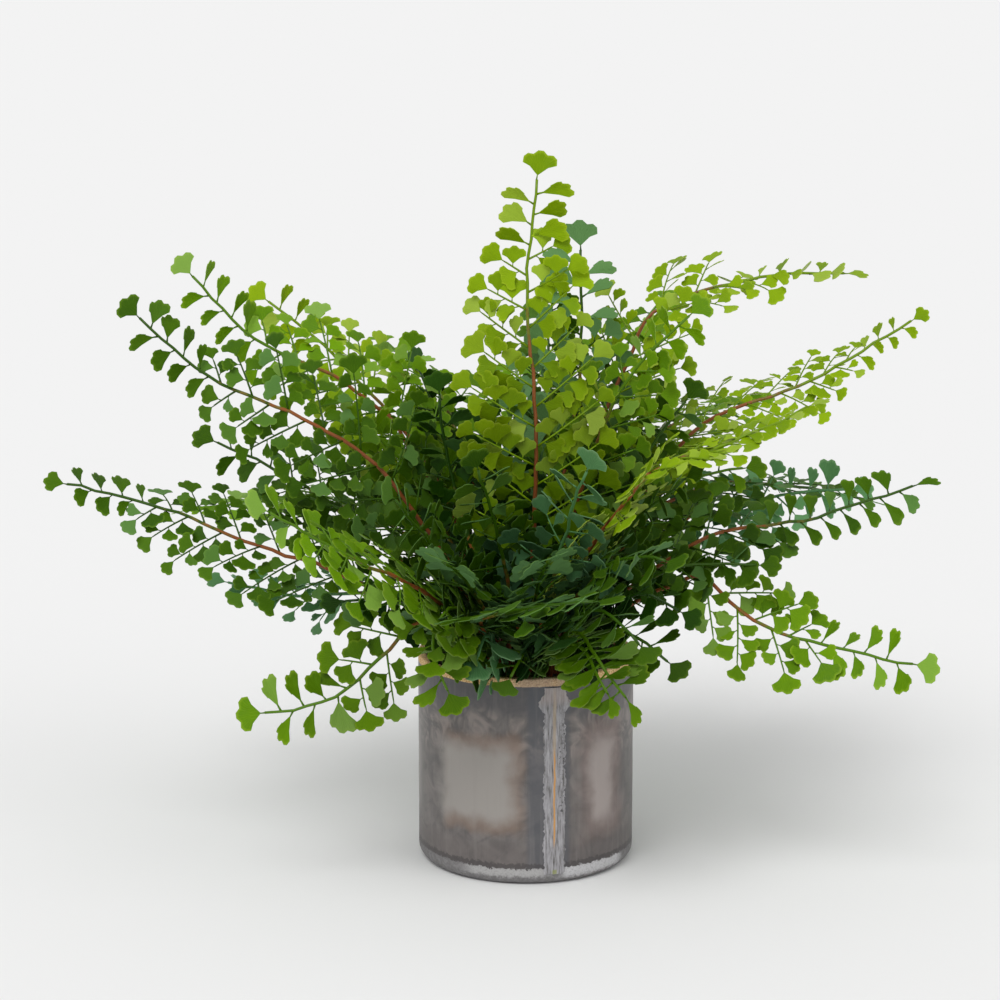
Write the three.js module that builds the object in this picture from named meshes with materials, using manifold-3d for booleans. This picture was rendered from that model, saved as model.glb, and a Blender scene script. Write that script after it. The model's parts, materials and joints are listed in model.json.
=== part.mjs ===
// A potted maidenhair fern: a round pot with a rough seam, filled with soil that the fronds stand in.
// Millimetres, +Z up. The pot's base is centred on the origin and the viewer is toward -Y.
import * as THREE from "three";
import { mergeVertices } from "three/addons/utils/BufferGeometryUtils.js";
import Module from "manifold-3d";

const wasm = await Module();
wasm.setup();

// Driving dimensions of the pot and of what fills it.
const POT = { radius: 60, height: 118, wall: 4, floor: 5, foot: 7, sides: 48, color: "#6f6b69" };
const SEAM = {
  azimuth: -75.2, halfWidth: 6.2, flare: 3.6, proud: 0.8, depth: 1.6, low: 8, high: 112,
  steps: 10, seed: 4316,
};
const GAP = 0.3;
const SOIL = { top: 108, edgeDrop: 2, sides: 36, color: "#2b2019" };

// Driving dimensions of a frond. The stem is widest in the soil and thinnest at the tip.
const STEM = {
  width: 2.4, tipWidth: 1.2, thickness: 2.0, tipThickness: 1.0, sunk: 20, rise: 0.8,
  sagitta: 0.7, frames: 48, turn: 0.3,
};
const ROOTS = { inner: 8, spread: 34, reach: 46, apart: 6.2 };
const LEAF = { length: 14, width: 9, thickness: 0.8, tipLength: 14, tipWidth: 14.5 };
const SHOOT = {
  first: 8, single: 6, sparse: 10, base: 0.9, notch: 0.6, leafStep: 8.6, stalk: 16, halfWidth: 9,
};
const CLEARANCE = 0.35;
const LIFTS = [0, 14, -14, 28, -28, 42];

// Leaflets at each place along a frond, counted from its tip, and the distance to the next place.
const LEAFLETS = [1, 1, 1, 1, 1, 1, 3, 3, 5, 5, 7, 7, 7, 7, 9];
const SPACING = [5.5, 5.5, 5.5, 5.5, 5.5, 7.5, 8.5, 9, 9.5, 10, 10.5, 11];

const TONES = { lime: "#86a81c", mid: "#4c8a22", deep: "#2f6a1a", dark: "#245316", blue: "#5b8a5a" };

// The fronds, each with the points that its stem passes after the soil and the way that its blade faces.
// A full frond is one that shows whole from the front, and has more of its leaflets.
const FRONDS = [
  { name: "top", tone: "lime", path: [[5, -30, 250], [0, -30, 325], [6, -25, 384]],
    face: [0, -1, 0.15], bare: 70, full: true },
  { name: "top_back", tone: "deep", path: [[30, 50, 260], [31, 55, 334]],
    face: [-0.1, -1, 0.2], bare: 80, size: 1.12, full: true },
  { name: "right_high", tone: "lime", path: [[65, 50, 290], [120, 60, 315], [179, 65, 319]],
    face: [-0.3, -0.8, 0.5], faceTip: [0, -0.1, 1], bare: 70, size: 1.05, full: true },
  { name: "right_mid", tone: "mid", path: [[45, -10, 255], [88, -10, 308]],
    face: [-0.3, -0.9, 0.4], bare: 60 },
  { name: "right_arm", tone: "lime", path: [[90, 20, 235], [155, 20, 265], [212, 20, 300]],
    face: [-0.3, 0.1, 0.95], faceTip: [0, -0.7, 0.7], bare: 90, full: true },
  { name: "lime_edge", tone: "lime", path: [[60, -70, 230], [110, -60, 250], [150, -50, 265]],
    face: [-0.2, 0.2, 0.9], faceTip: [0, 0.2, 1], bare: 70, full: true },
  { name: "right_dark", tone: "deep", path: [[95, -20, 185], [155, -10, 195], [213, 0, 211]],
    face: [0, -0.6, 0.8], faceTip: [0, -0.5, 0.85], bare: 70, size: 1.05, full: true },
  { name: "right_dark_back", tone: "blue", path: [[95, 60, 180], [140, 65, 190], [186, 70, 194]],
    face: [0, -0.7, 0.7], bare: 70 },
  { name: "right_small", tone: "mid", path: [[80, 30, 200], [122, 40, 212]],
    face: [0, -0.6, 0.8], bare: 70, size: 1.05 },
  { name: "right_low", tone: "mid", path: [[90, -40, 170], [120, -50, 150], [145, -55, 140], [208, -60, 126]],
    face: [0.2, -0.5, 0.85], faceTip: [0, -0.7, 0.6], bare: 95, size: 1.1, full: true },
  { name: "front_right", tone: "mid", path: [[35, -70, 145], [50, -95, 135], [62, -105, 120]],
    face: [0.2, -0.85, 0.5], bare: 40, full: true },
  { name: "left_low", tone: "mid",
    path: [[-55, -60, 150], [-80, -65, 130], [-105, -70, 110], [-141, -70, 102]],
    face: [-0.2, -0.75, 0.5], faceTip: [-0.1, -0.9, 0.4], bare: 75, size: 1.15, full: true },
  { name: "front_left", tone: "mid", path: [[-40, -85, 165], [-50, -100, 150], [-42, -105, 125]],
    face: [-0.2, -0.85, 0.4], bare: 40, size: 0.95, full: true },
  { name: "left_front", tone: "mid", path: [[-50, -70, 165], [-90, -120, 200], [-131, -150, 231]],
    face: [0.1, -0.35, 0.9], faceTip: [0, -0.6, 0.8], bare: 55, full: true },
  { name: "left_dark", tone: "deep", path: [[-90, 0, 155], [-155, 0, 180], [-205, 0, 200], [-253, 0, 212]],
    face: [0.05, -0.5, 0.85], bare: 80, size: 1.05, full: true },
  { name: "left_low_blue", tone: "blue", path: [[-80, 50, 135], [-130, 55, 135], [-170, 60, 141]],
    face: [0, -0.3, 0.95], bare: 80, size: 0.95 },
  { name: "left_high", tone: "deep",
    path: [[-75, -20, 220], [-125, -20, 255], [-170, -20, 275], [-208, -20, 309]],
    face: [0.3, -0.85, 0.5], bare: 90, size: 1.05, full: true },
  { name: "left_high_2", tone: "mid",
    path: [[-55, 20, 220], [-100, 20, 265], [-150, 20, 290], [-183, 20, 325]],
    face: [0.3, -0.8, 0.5], bare: 90, size: 1.05, full: true },
  { name: "left_back", tone: "lime", path: [[-70, 90, 220], [-110, 100, 265], [-147, 105, 297]],
    face: [0.1, -0.7, 0.7], bare: 90 },
  { name: "left_back_2", tone: "mid", path: [[-65, 80, 215], [-75, 90, 256]],
    face: [0.1, -0.8, 0.5], bare: 70, size: 0.9 },
  { name: "left_mid", tone: "deep", path: [[-105, 30, 190], [-145, 35, 215], [-173, 40, 227]],
    face: [0.1, -0.6, 0.8], bare: 90, size: 1.1, full: true },
  { name: "centre_left", tone: "dark", path: [[-45, 50, 225], [-59, 60, 265]],
    face: [-0.9, -0.5, 0.2], bare: 60 },
  { name: "centre_left_2", tone: "dark", path: [[-40, -10, 215], [-48, -20, 266]],
    face: [0, -1, 0.2], bare: 45 },
  { name: "centre_front", tone: "blue", path: [[20, -70, 200], [30, -100, 242]],
    face: [0, -0.8, 0.6], bare: 35, size: 1.15 },
  { name: "front_edge", tone: "deep", path: [[-25, -80, 155], [5, -125, 175], [33, -145, 184]],
    face: [0, 0.1, 1], bare: 35 },
  { name: "front_low", tone: "blue", path: [[-20, -70, 145], [-26, -90, 139]],
    face: [0, -0.9, 0.5], bare: 25, size: 1.1 },
  { name: "rim_front", tone: "mid", path: [[0, -60, 135], [-8, -80, 125]],
    face: [0, -0.8, 0.6], bare: 25, size: 0.9 },
  { name: "right_front_low", tone: "dark", path: [[55, -60, 165], [81, -70, 159]],
    face: [0, -0.5, 0.85], bare: 35 },
  { name: "centre_right", tone: "deep", path: [[55, -40, 195], [84, -55, 227]],
    face: [0, -0.5, 0.85], bare: 40 },
  { name: "centre_deep", tone: "deep", path: [[-15, -60, 195], [-26, -85, 239]],
    face: [0, -0.9, 0.45], bare: 35 },
  { name: "centre_left_front", tone: "deep", path: [[-45, -70, 185], [-69, -105, 228]],
    face: [0, -0.7, 0.7], bare: 35 },
  { name: "right_inner", tone: "deep", path: [[70, -32, 168], [124, -44, 178]],
    face: [0, -0.5, 0.85], bare: 40 },
  { name: "right_inner_2", tone: "deep", path: [[45, 20, 210], [72, 30, 253]],
    face: [0, -0.9, 0.45], bare: 45 },
  { name: "right_upright", tone: "deep", path: [[65, 0, 225], [87, 0, 259]],
    face: [0, -0.9, 0.45], bare: 45 },
  { name: "centre_up", tone: "dark", path: [[-10, 0, 205], [-19, 0, 243]],
    face: [0, -0.9, 0.45], bare: 40 },
  { name: "left_inner", tone: "mid", path: [[-55, 0, 205], [-88, -10, 248]],
    face: [0.2, -0.85, 0.5], bare: 45 },
  { name: "left_inner_2", tone: "deep", path: [[-70, 10, 180], [-120, 10, 201]],
    face: [0, -0.6, 0.8], bare: 40 },
  { name: "left_inner_low", tone: "dark", path: [[-65, -40, 155], [-98, -50, 159]],
    face: [0, -0.5, 0.85], bare: 35 },
  { name: "front_centre", tone: "deep", path: [[5, -85, 175], [12, -130, 202]],
    face: [0, -0.7, 0.75], bare: 30 },
  { name: "front_mid_right", tone: "deep", path: [[35, -90, 165], [58, -120, 154]],
    face: [0.1, -0.7, 0.7], bare: 30 },
  { name: "front_mid_left", tone: "deep", path: [[-30, -85, 175], [-43, -130, 201]],
    face: [0, -0.6, 0.8], bare: 30 },
  { name: "front_right_mid", tone: "deep", path: [[40, -80, 185], [71, -120, 199]],
    face: [0, -0.6, 0.8], bare: 30 },
  { name: "front_low_right", tone: "dark", path: [[10, -70, 145], [17, -100, 151]],
    face: [0, -0.8, 0.6], bare: 20 },
  { name: "skirt_left", tone: "mid", path: [[-36, -72, 150], [-48, -105, 142]],
    face: [-0.2, -0.8, 0.6], bare: 25 },
  { name: "skirt_right", tone: "mid", path: [[25, -75, 142], [42, -110, 125]],
    face: [0.1, -0.8, 0.6], bare: 25 },
  { name: "skirt_right_2", tone: "deep", path: [[45, -60, 145], [75, -85, 136]],
    face: [0.2, -0.8, 0.6], bare: 25 },
  { name: "skirt_far_left", tone: "deep", path: [[-50, -42, 156], [-86, -62, 157]],
    face: [-0.2, -0.8, 0.6], bare: 25 },
  { name: "back_right_low", tone: "deep", path: [[85, 60, 190], [200, 125, 175]],
    face: [0.3, 0.2, 0.9], bare: 60 },
  { name: "back_right", tone: "mid", path: [[70, 85, 215], [140, 175, 225]],
    face: [0.2, 0.3, 0.9], bare: 50 },
  { name: "back_right_high", tone: "mid", path: [[40, 70, 240], [80, 145, 290]],
    face: [0.1, 0.2, 0.9], bare: 45 },
  { name: "back_low", tone: "deep", path: [[10, 90, 180], [25, 200, 160]],
    face: [0, 0.3, 0.9], bare: 45 },
  { name: "back", tone: "mid", path: [[0, 90, 220], [-5, 195, 240]],
    face: [0, 0.3, 0.9], bare: 50 },
  { name: "back_left_high", tone: "mid", path: [[-40, 70, 230], [-80, 140, 265]],
    face: [-0.1, 0.2, 0.9], bare: 45 },
  { name: "back_left", tone: "deep", path: [[-70, 85, 200], [-135, 175, 200]],
    face: [-0.2, 0.3, 0.9], bare: 50 },
  { name: "back_left_low", tone: "mid", path: [[-85, 60, 180], [-195, 120, 170]],
    face: [-0.3, 0.2, 0.9], bare: 60 },
  { name: "back_up", tone: "deep", path: [[10, 55, 230], [15, 95, 300]],
    face: [0, 0.1, 0.9], bare: 40 },
];

// Seeded draws, the same on every run.
class Draw {
  constructor(seed) {
    this.state = seed;
  }
  between(low, high) {
    this.state = (this.state * 16807) % 2147483647;
    return low + (high - low) * (this.state / 2147483647);
  }
}

function material(color, roughness) {
  return new THREE.MeshStandardMaterial({ color, roughness, metalness: 0, flatShading: true });
}

// Solids from closed meshes, and back.
function solidOf(geometry) {
  geometry.deleteAttribute("normal");
  geometry.deleteAttribute("uv");
  const merged = mergeVertices(geometry, 1e-4);
  return new wasm.Manifold(new wasm.Mesh({
    numProp: 3,
    vertProperties: new Float32Array(merged.attributes.position.array),
    triVerts: new Uint32Array(merged.index.array),
  }));
}

function geometryOf(solid) {
  const mesh = solid.getMesh();
  const geometry = new THREE.BufferGeometry();
  geometry.setAttribute("position", new THREE.BufferAttribute(new Float32Array(mesh.vertProperties), 3));
  geometry.setIndex(new THREE.BufferAttribute(new Uint32Array(mesh.triVerts), 1));
  return geometry;
}

// A thin solid round a triangulated mid-surface. Each corner has its place, its normal and half its
// thickness, the triangles run the same way round, seen along the normals, and both faces are split alike.
function thicken(corners, triangles, extra = 0) {
  const count = corners.length;
  const position = [];
  for (const sign of [1, -1]) {
    for (const corner of corners) {
      const offset = sign * (corner.half + extra);
      position.push(...corner.at.clone().addScaledVector(corner.normal, offset).toArray());
    }
  }
  const index = [];
  const edges = new Map();
  for (const [a, b, c] of triangles) {
    index.push(a, b, c, count + a, count + c, count + b);
    for (const [from, to] of [[a, b], [b, c], [c, a]]) {
      if (!edges.delete(`${to} ${from}`)) edges.set(`${from} ${to}`, [from, to]);
    }
  }
  for (const [from, to] of edges.values()) {
    index.push(to, from, count + from, to, count + from, count + to);
  }
  const geometry = new THREE.BufferGeometry();
  geometry.setAttribute("position", new THREE.Float32BufferAttribute(position, 3));
  geometry.setIndex(index);
  return geometry;
}

// A stem's centre line: it leaves the soil upright and passes each of its points.
class Stem extends THREE.Curve {
  constructor(root, path) {
    super();
    this.points = [root, ...path];
    this.knots = [0];
    for (let i = 1; i < this.points.length; i++) {
      this.knots.push(this.knots[i - 1] + this.points[i].distanceTo(this.points[i - 1]));
    }
    const last = this.points.length - 1;
    this.slopes = [new THREE.Vector3(0, 0, STEM.rise)];
    for (let i = 1; i < last; i++) {
      this.slopes.push(this.chord(i - 1, i + 1));
    }
    const end = this.chord(last - 1, last).multiplyScalar(1.5);
    this.slopes.push(end.addScaledVector(this.slopes[last - 1], -0.5));
  }
  chord(i, j) {
    return this.points[j].clone().sub(this.points[i]).divideScalar(this.knots[j] - this.knots[i]);
  }
  getPoint(t, target = new THREE.Vector3()) {
    const last = this.points.length - 1;
    const x = t * this.knots[last];
    let i = 0;
    while (i < last - 1 && x > this.knots[i + 1]) i++;
    const h = this.knots[i + 1] - this.knots[i];
    const k = (x - this.knots[i]) / h;
    return target
      .copy(this.points[i]).multiplyScalar(2 * k ** 3 - 3 * k ** 2 + 1)
      .addScaledVector(this.slopes[i], h * (k ** 3 - 2 * k ** 2 + k))
      .addScaledVector(this.points[i + 1], 3 * k ** 2 - 2 * k ** 3)
      .addScaledVector(this.slopes[i + 1], h * (k ** 3 - k ** 2));
  }
}

// Each root is on the side that its frond leans to, farther out for a flatter frond.
function rootOf(path) {
  const [x, y, z] = path[0];
  const out = Math.hypot(x, y);
  const flat = Math.min(1, (out / (out + z - SOIL.top)) ** 1.2);
  const radius = ROOTS.inner + ROOTS.spread * flat;
  return new THREE.Vector2(x, y).multiplyScalar(radius / out);
}

// Pushes roots that are too close apart, and keeps them in the pot.
function spreadRoots(roots) {
  for (let round = 0; round < 400; round++) {
    let moved = false;
    for (let i = 0; i < roots.length; i++) {
      for (let j = i + 1; j < roots.length; j++) {
        const apart = roots[i].clone().sub(roots[j]);
        const distance = apart.length();
        if (distance < ROOTS.apart - 1e-6) {
          apart.multiplyScalar((ROOTS.apart - distance) / 2 / Math.max(distance, 1e-6));
          roots[i].add(apart);
          roots[j].sub(apart);
          moved = true;
        }
      }
    }
    for (const root of roots) {
      root.clampLength(0, ROOTS.reach);
    }
    if (!moved) return;
  }
}

// Normals of a frond's blade, worked down from its tip. Each follows the one above it, and turns toward the
// frond's face where that is on the same side, so that the stem never flips over.
function normalsOf(stem, face, faceTip) {
  const normals = [];
  for (let i = STEM.frames; i >= 0; i--) {
    const u = i / STEM.frames;
    const along = stem.getTangentAt(u);
    const target = face.clone().lerp(faceTip, u);
    target.addScaledVector(along, -target.dot(along));
    const normal = (normals[0] ?? target).clone();
    normal.addScaledVector(target, normal.dot(target) > 0 ? STEM.turn : 0);
    normals.unshift(normal.addScaledVector(along, -normal.dot(along)).normalize());
  }
  return normals;
}

// A frond with its stem, and its shoots from the tip down, each with a side, a number of leaflets and angles.
function plant(entry, root, number) {
  const path = entry.path.map((point) => new THREE.Vector3(...point));
  const stem = new Stem(new THREE.Vector3(root.x, root.y, SOIL.top), path);
  const face = new THREE.Vector3(...entry.face).normalize();
  const faceTip = new THREE.Vector3(...(entry.faceTip ?? entry.face)).normalize();
  const length = stem.getLength();
  const normals = normalsOf(stem, face, faceTip);
  const frond = { ...entry, stem, normals, size: entry.size ?? 1, length, shoots: [] };
  const draw = new Draw(1000 + 77 * number);
  let side = draw.between(0, 1) < 0.5 ? 1 : -1;
  let down = SHOOT.first * frond.size;
  for (let k = 0; down < frond.length - frond.bare; k++) {
    frond.shoots.push({
      k, side, s: frond.length - down,
      leaflets: LEAFLETS[Math.min(k, LEAFLETS.length - 1)],
      fan: draw.between(48, 60), lift: draw.between(-8, 22), droop: draw.between(0, 0.22),
    });
    down += SPACING[Math.min(k, SPACING.length - 1)] * frond.size;
    side = -side;
  }
  return frond;
}

// Place, direction, side and normal of a frond at a distance up its stem from the soil; lower it is upright.
function frameAt(frond, s) {
  const u = THREE.MathUtils.clamp(s / frond.length, 0, 1);
  const at = frond.stem.getPointAt(u);
  const along = frond.stem.getTangentAt(u);
  at.z += Math.min(s, 0);
  const i = Math.min(Math.floor(u * STEM.frames), STEM.frames - 1);
  const normal = frond.normals[i].clone().lerp(frond.normals[i + 1], u * STEM.frames - i);
  normal.addScaledVector(along, -normal.dot(along)).normalize();
  return { at, along, normal, side: along.clone().cross(normal), u };
}

// One corner on an edge of a stem.
function stemCorner(frond, s, side, extra = 0) {
  const { at, normal, side: across, u } = frameAt(frond, s);
  const half = THREE.MathUtils.lerp(STEM.width, STEM.tipWidth, u) / 2 + extra;
  return {
    s, at: at.addScaledVector(across, side * half), normal,
    flat: new THREE.Vector2(s, side * half),
    half: THREE.MathUtils.lerp(STEM.thickness, STEM.tipThickness, u) / 2,
  };
}

// Leaf outlines, as shares of a leaf's length and width, from one side of its base to the other.
const OUTLINES = {
  tip: [[0.55, -0.46], [0.92, -0.4], [0.86, -0.03], [1, 0.28], [0.62, 0.5]],
  smallTip: [[0.6, -0.5], [0.98, -0.1], [0.7, 0.5]],
  leaf: [[0.52, -0.46], [0.98, -0.2], [0.78, 0.46]],
  smallLeaf: [[0.72, -0.48], [0.95, 0.4]],
};

// Outline of a shoot of several leaflets: lobes cut to its rib on both sides and one at the tip.
function shootOutline(length, half, full) {
  const rib = SHOOT.notch;
  if (!full) {
    return [[0.3 * length, -half], [0.46 * length, -0.22 * half], [0.8 * length, -0.68 * half],
      [length, 0.2 * half], [0.54 * length, 0.25 * half], [0.38 * length, half]];
  }
  return [[0.2 * length, -half], [0.46 * length, -0.84 * half], [0.36 * length, -rib],
    [0.74 * length, -0.7 * half], [length, -0.1 * half], [0.82 * length, 0.66 * half],
    [0.42 * length, rib], [0.54 * length, 0.78 * half], [0.27 * length, half]];
}

// The corners of a shoot beyond the stem. It fans out, is lifted off the frond's face and droops to its tip.
function shootCorners(frond, shoot, tilt) {
  const { at, along, normal, side: across, u } = frameAt(frond, shoot.s);
  const fan = THREE.MathUtils.degToRad(shoot.fan);
  const lift = THREE.MathUtils.degToRad(shoot.lift + tilt);
  const edge = THREE.MathUtils.lerp(STEM.width, STEM.tipWidth, u) / 2;
  const out = along.clone().multiplyScalar(Math.cos(fan)).addScaledVector(across, shoot.side * Math.sin(fan));
  const wide = normal.clone().cross(out);
  const ray = out.multiplyScalar(Math.cos(lift)).addScaledVector(normal, Math.sin(lift));
  const up = ray.clone().cross(wide).normalize();
  wide.multiplyScalar(shoot.side);
  const pairs = (shoot.leaflets - 1) / 2;
  let outline;
  let length;
  if (pairs === 0) {
    length = LEAF.length * frond.size;
    const shape = frond.full ? OUTLINES.leaf : OUTLINES.smallLeaf;
    outline = shape.map(([x, y]) => [x * length + 1, y * LEAF.width * frond.size]);
  } else {
    length = (SHOOT.stalk + SHOOT.leafStep * pairs) * frond.size;
    outline = shootOutline(length, Math.min(SHOOT.halfWidth, 5.5 + pairs) * frond.size, frond.full);
  }
  at.addScaledVector(across, shoot.side * edge);
  return outline.map(([x, y]) => {
    const sag = pairs ? shoot.droop / length : 0;
    return {
      at: at.clone().addScaledVector(ray, x).addScaledVector(wide, y).addScaledVector(up, -sag * x * x),
      normal: up.clone().addScaledVector(ray, 2 * sag * x).normalize(),
      half: LEAF.thickness / 2,
      flat: new THREE.Vector2(
        shoot.s + x * Math.cos(fan) + y * Math.sin(fan),
        shoot.side * (edge + x * Math.sin(fan) - y * Math.cos(fan)),
      ),
    };
  });
}

// The leaf at a frond's tip.
function tipCorners(frond) {
  const { at, along, normal, side } = frameAt(frond, frond.length);
  const outline = frond.full ? OUTLINES.tip : OUTLINES.smallTip;
  return outline.map(([x, y]) => {
    const forward = x * LEAF.tipLength * frond.size;
    const across = -y * LEAF.tipWidth * frond.size;
    return {
      at: at.clone().addScaledVector(along, forward).addScaledVector(side, across), normal,
      half: LEAF.thickness / 2,
      flat: new THREE.Vector2(frond.length + forward, across),
    };
  });
}

function range(start, end) {
  return Array.from({ length: end - start }, (_, i) => start + i);
}

// Triangles of a flat outline, all the same way round.
function fill(corners, ring) {
  const flats = ring.map((i) => corners[i].flat);
  return THREE.ShapeUtils.triangulateShape(flats, []).map(([a, b, c]) => {
    const turn = flats[b].clone().sub(flats[a]).cross(flats[c].clone().sub(flats[a]));
    return turn < 0 ? [ring[a], ring[b], ring[c]] : [ring[a], ring[c], ring[b]];
  });
}

// A shoot on its own, a little thicker than it is, to try whether its place is clear.
function shootTrial(frond, shoot, tilt) {
  const corners = [
    stemCorner(frond, shoot.s - SHOOT.base, shoot.side, CLEARANCE),
    ...shootCorners(frond, shoot, tilt),
    stemCorner(frond, shoot.s + SHOOT.base, shoot.side, CLEARANCE),
  ];
  return solidOf(thicken(corners, fill(corners, range(0, corners.length)), CLEARANCE));
}

// Steps that a stretch of stem takes for its chords to stay near its curve.
function stepsFor(frond, from, to) {
  let turned = 0;
  let last = frameAt(frond, from).along;
  for (let n = 1; n <= 6; n++) {
    const next = frameAt(frond, from + ((to - from) * n) / 6).along;
    turned += last.angleTo(next);
    last = next;
  }
  return Math.max(1, Math.ceil(Math.sqrt(((to - from) * turned) / (8 * STEM.sagitta))));
}

// Heights along one edge of a stem: its ends, the feet of the shoots on that side, and even steps between.
function edgeStations(frond, shoots, side) {
  const fixed = [-STEM.sunk, 0];
  for (const shoot of shoots.filter((one) => one.side === side)) {
    fixed.push(shoot.s - SHOOT.base, shoot.s + SHOOT.base);
  }
  fixed.push(frond.length);
  fixed.sort((a, b) => a - b);
  const stations = [fixed[0]];
  for (let i = 1; i < fixed.length; i++) {
    const steps = stepsFor(frond, fixed[i - 1], fixed[i]);
    for (let n = 1; n <= steps; n++) {
      stations.push(fixed[i - 1] + ((fixed[i] - fixed[i - 1]) * n) / steps);
    }
  }
  return stations;
}

// A frond's stem between its two edges, with the shoots and the tip leaf grown on.
function frondGeometry(frond, shoots, extra = 0, withTip = true) {
  const corners = [];
  const triangles = [];
  const chains = [-1, 1].map((side) => edgeStations(frond, shoots, side).map((s) => {
    corners.push(stemCorner(frond, s, side, extra));
    return corners.length - 1;
  }));
  const [right, left] = chains;
  let i = 0;
  let j = 0;
  while (i < right.length - 1 || j < left.length - 1) {
    const nextRight = i < right.length - 1 ? corners[right[i + 1]].s : Infinity;
    const nextLeft = j < left.length - 1 ? corners[left[j + 1]].s : Infinity;
    if (nextRight <= nextLeft) {
      triangles.push([right[i], left[j], right[++i]]);
    } else {
      triangles.push([right[i], left[j], left[++j]]);
    }
  }
  for (const shoot of shoots) {
    const chain = shoot.side > 0 ? left : right;
    const near = chain.find((n) => Math.abs(corners[n].s - (shoot.s - SHOOT.base)) < 1e-6);
    const far = chain.find((n) => Math.abs(corners[n].s - (shoot.s + SHOOT.base)) < 1e-6);
    const start = corners.length;
    corners.push(...shootCorners(frond, shoot, shoot.tilt));
    triangles.push(...fill(corners, [near, ...range(start, corners.length), far]));
  }
  if (withTip) {
    const start = corners.length;
    corners.push(...tipCorners(frond));
    triangles.push(...fill(corners, [left.at(-1), ...range(start, corners.length), right.at(-1)]));
  }
  return thicken(corners, triangles, extra);
}

// Solids that later shoots keep clear of. A stem's own shoots are let through.
const taken = [];

function take(solid, stemOf = null) {
  taken.push({ solid, box: solid.boundingBox(), stemOf });
}

function isClear(solid, frond) {
  const box = solid.boundingBox();
  return taken.every((other) => other.stemOf === frond
    || [0, 1, 2].some((axis) => box.min[axis] > other.box.max[axis] || box.max[axis] < other.box.min[axis])
    || solid.intersect(other.solid).isEmpty());
}

// Which of a frond's shoots grow: the single leaves of a full frond, and one or two of each three others.
function grows(frond, k) {
  if (k < SHOOT.single) return frond.full || k % 3 !== 2;
  return k % 3 === 0 || (frond.full && k % 3 === 1 && k < SHOOT.sparse);
}

// A frond keeps the shoots that find a clear place at one of the tilts.
function settle(frond) {
  frond.grown = [];
  for (const shoot of frond.shoots.filter(({ k }) => grows(frond, k))) {
    for (const tilt of LIFTS) {
      const trial = shootTrial(frond, shoot, tilt);
      if (isClear(trial, frond)) {
        take(trial);
        frond.grown.push({ ...shoot, tilt });
        break;
      }
    }
  }
}

// The pot is turned from one profile and has a rough raised seam down its side.
function potSolid() {
  const { radius, height, wall, floor, foot } = POT;
  const inner = radius - wall;
  const profile = [new THREE.Vector2(0, 0)];
  for (let i = 0; i <= 4; i++) {
    const angle = (Math.PI / 2) * (i / 4);
    profile.push(new THREE.Vector2(radius - foot + foot * Math.sin(angle), foot - foot * Math.cos(angle)));
  }
  for (const [r, z] of [[radius, height - 0.6], [radius - 0.6, height], [inner + 0.6, height],
    [inner, height - 0.6], [inner, floor + 3], [inner - 3, floor], [0, floor]]) {
    profile.push(new THREE.Vector2(r, z));
  }
  const shell = new THREE.LatheGeometry(profile, POT.sides).rotateX(Math.PI / 2);
  return solidOf(shell).add(seamSolid());
}

function seamSolid() {
  const draw = new Draw(SEAM.seed);
  const corners = [];
  const triangles = [];
  for (let i = 0; i <= SEAM.steps; i++) {
    const share = i / SEAM.steps;
    const z = THREE.MathUtils.lerp(SEAM.low, SEAM.high, share);
    const flare = SEAM.flare * Math.max(0, share - 0.8) * 5;
    for (const place of [-1, 0, 1]) {
      const wander = place ? draw.between(-0.9, 0.9) : 0;
      const sideways = place * (SEAM.halfWidth + flare) + wander;
      const angle = THREE.MathUtils.degToRad(SEAM.azimuth) + sideways / POT.radius;
      const normal = new THREE.Vector3(Math.cos(angle), Math.sin(angle), 0);
      const proud = place ? SEAM.proud / 2 : SEAM.proud;
      const half = (proud + SEAM.depth) / 2;
      const at = normal.clone().multiplyScalar(POT.radius + proud - half);
      at.z = z;
      corners.push({ at, normal, half });
    }
    if (i === 0) continue;
    for (const column of [0, 1]) {
      const a = 3 * (i - 1) + column;
      triangles.push([a, a + 1, a + 4], [a, a + 4, a + 3]);
    }
  }
  return solidOf(thicken(corners, triangles));
}

// Soil fills the pot, with a plain hole round the foot of each stem.
function soilSolid(fronds) {
  const radius = POT.radius - POT.wall - GAP;
  const bottom = POT.floor + GAP;
  const profile = [[0, bottom], [radius - 3, bottom], [radius, bottom + 3],
    [radius, SOIL.top - SOIL.edgeDrop], [radius - 5, SOIL.top], [0, SOIL.top]]
    .map(([r, z]) => new THREE.Vector2(r, z));
  let soil = solidOf(new THREE.LatheGeometry(profile, SOIL.sides).rotateX(Math.PI / 2));
  for (const frond of fronds) {
    const { at, normal, side } = frameAt(frond, 0);
    const depth = STEM.sunk + 2 * GAP;
    const hole = new THREE.BoxGeometry(STEM.thickness + 2 * GAP, STEM.width + 2 * GAP, depth);
    const turn = new THREE.Matrix4().makeBasis(normal, side, new THREE.Vector3(0, 0, 1));
    turn.setPosition(at.x, at.y, SOIL.top + GAP - depth / 2);
    soil = soil.subtract(solidOf(hole.applyMatrix4(turn)));
  }
  return soil;
}

const roots = FRONDS.map(({ path }) => rootOf(path));
spreadRoots(roots);
const fronds = FRONDS.map((entry, number) => plant(entry, roots[number], number));
const pot = potSolid();
const soil = soilSolid(fronds);
take(pot);
take(soil);
for (const frond of fronds) {
  take(solidOf(frondGeometry(frond, [], CLEARANCE)), frond);
}
for (const frond of fronds) {
  settle(frond);
}

const fern = new THREE.Group();
function add(name, geometry, color, roughness) {
  const mesh = new THREE.Mesh(geometry, material(color, roughness));
  mesh.name = name;
  fern.add(mesh);
}
add("pot", geometryOf(pot), POT.color, 0.6);
add("soil", geometryOf(soil), SOIL.color, 0.95);
for (const frond of fronds) {
  add(`frond_${frond.name}`, frondGeometry(frond, frond.grown), TONES[frond.tone], 0.55);
}

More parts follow.
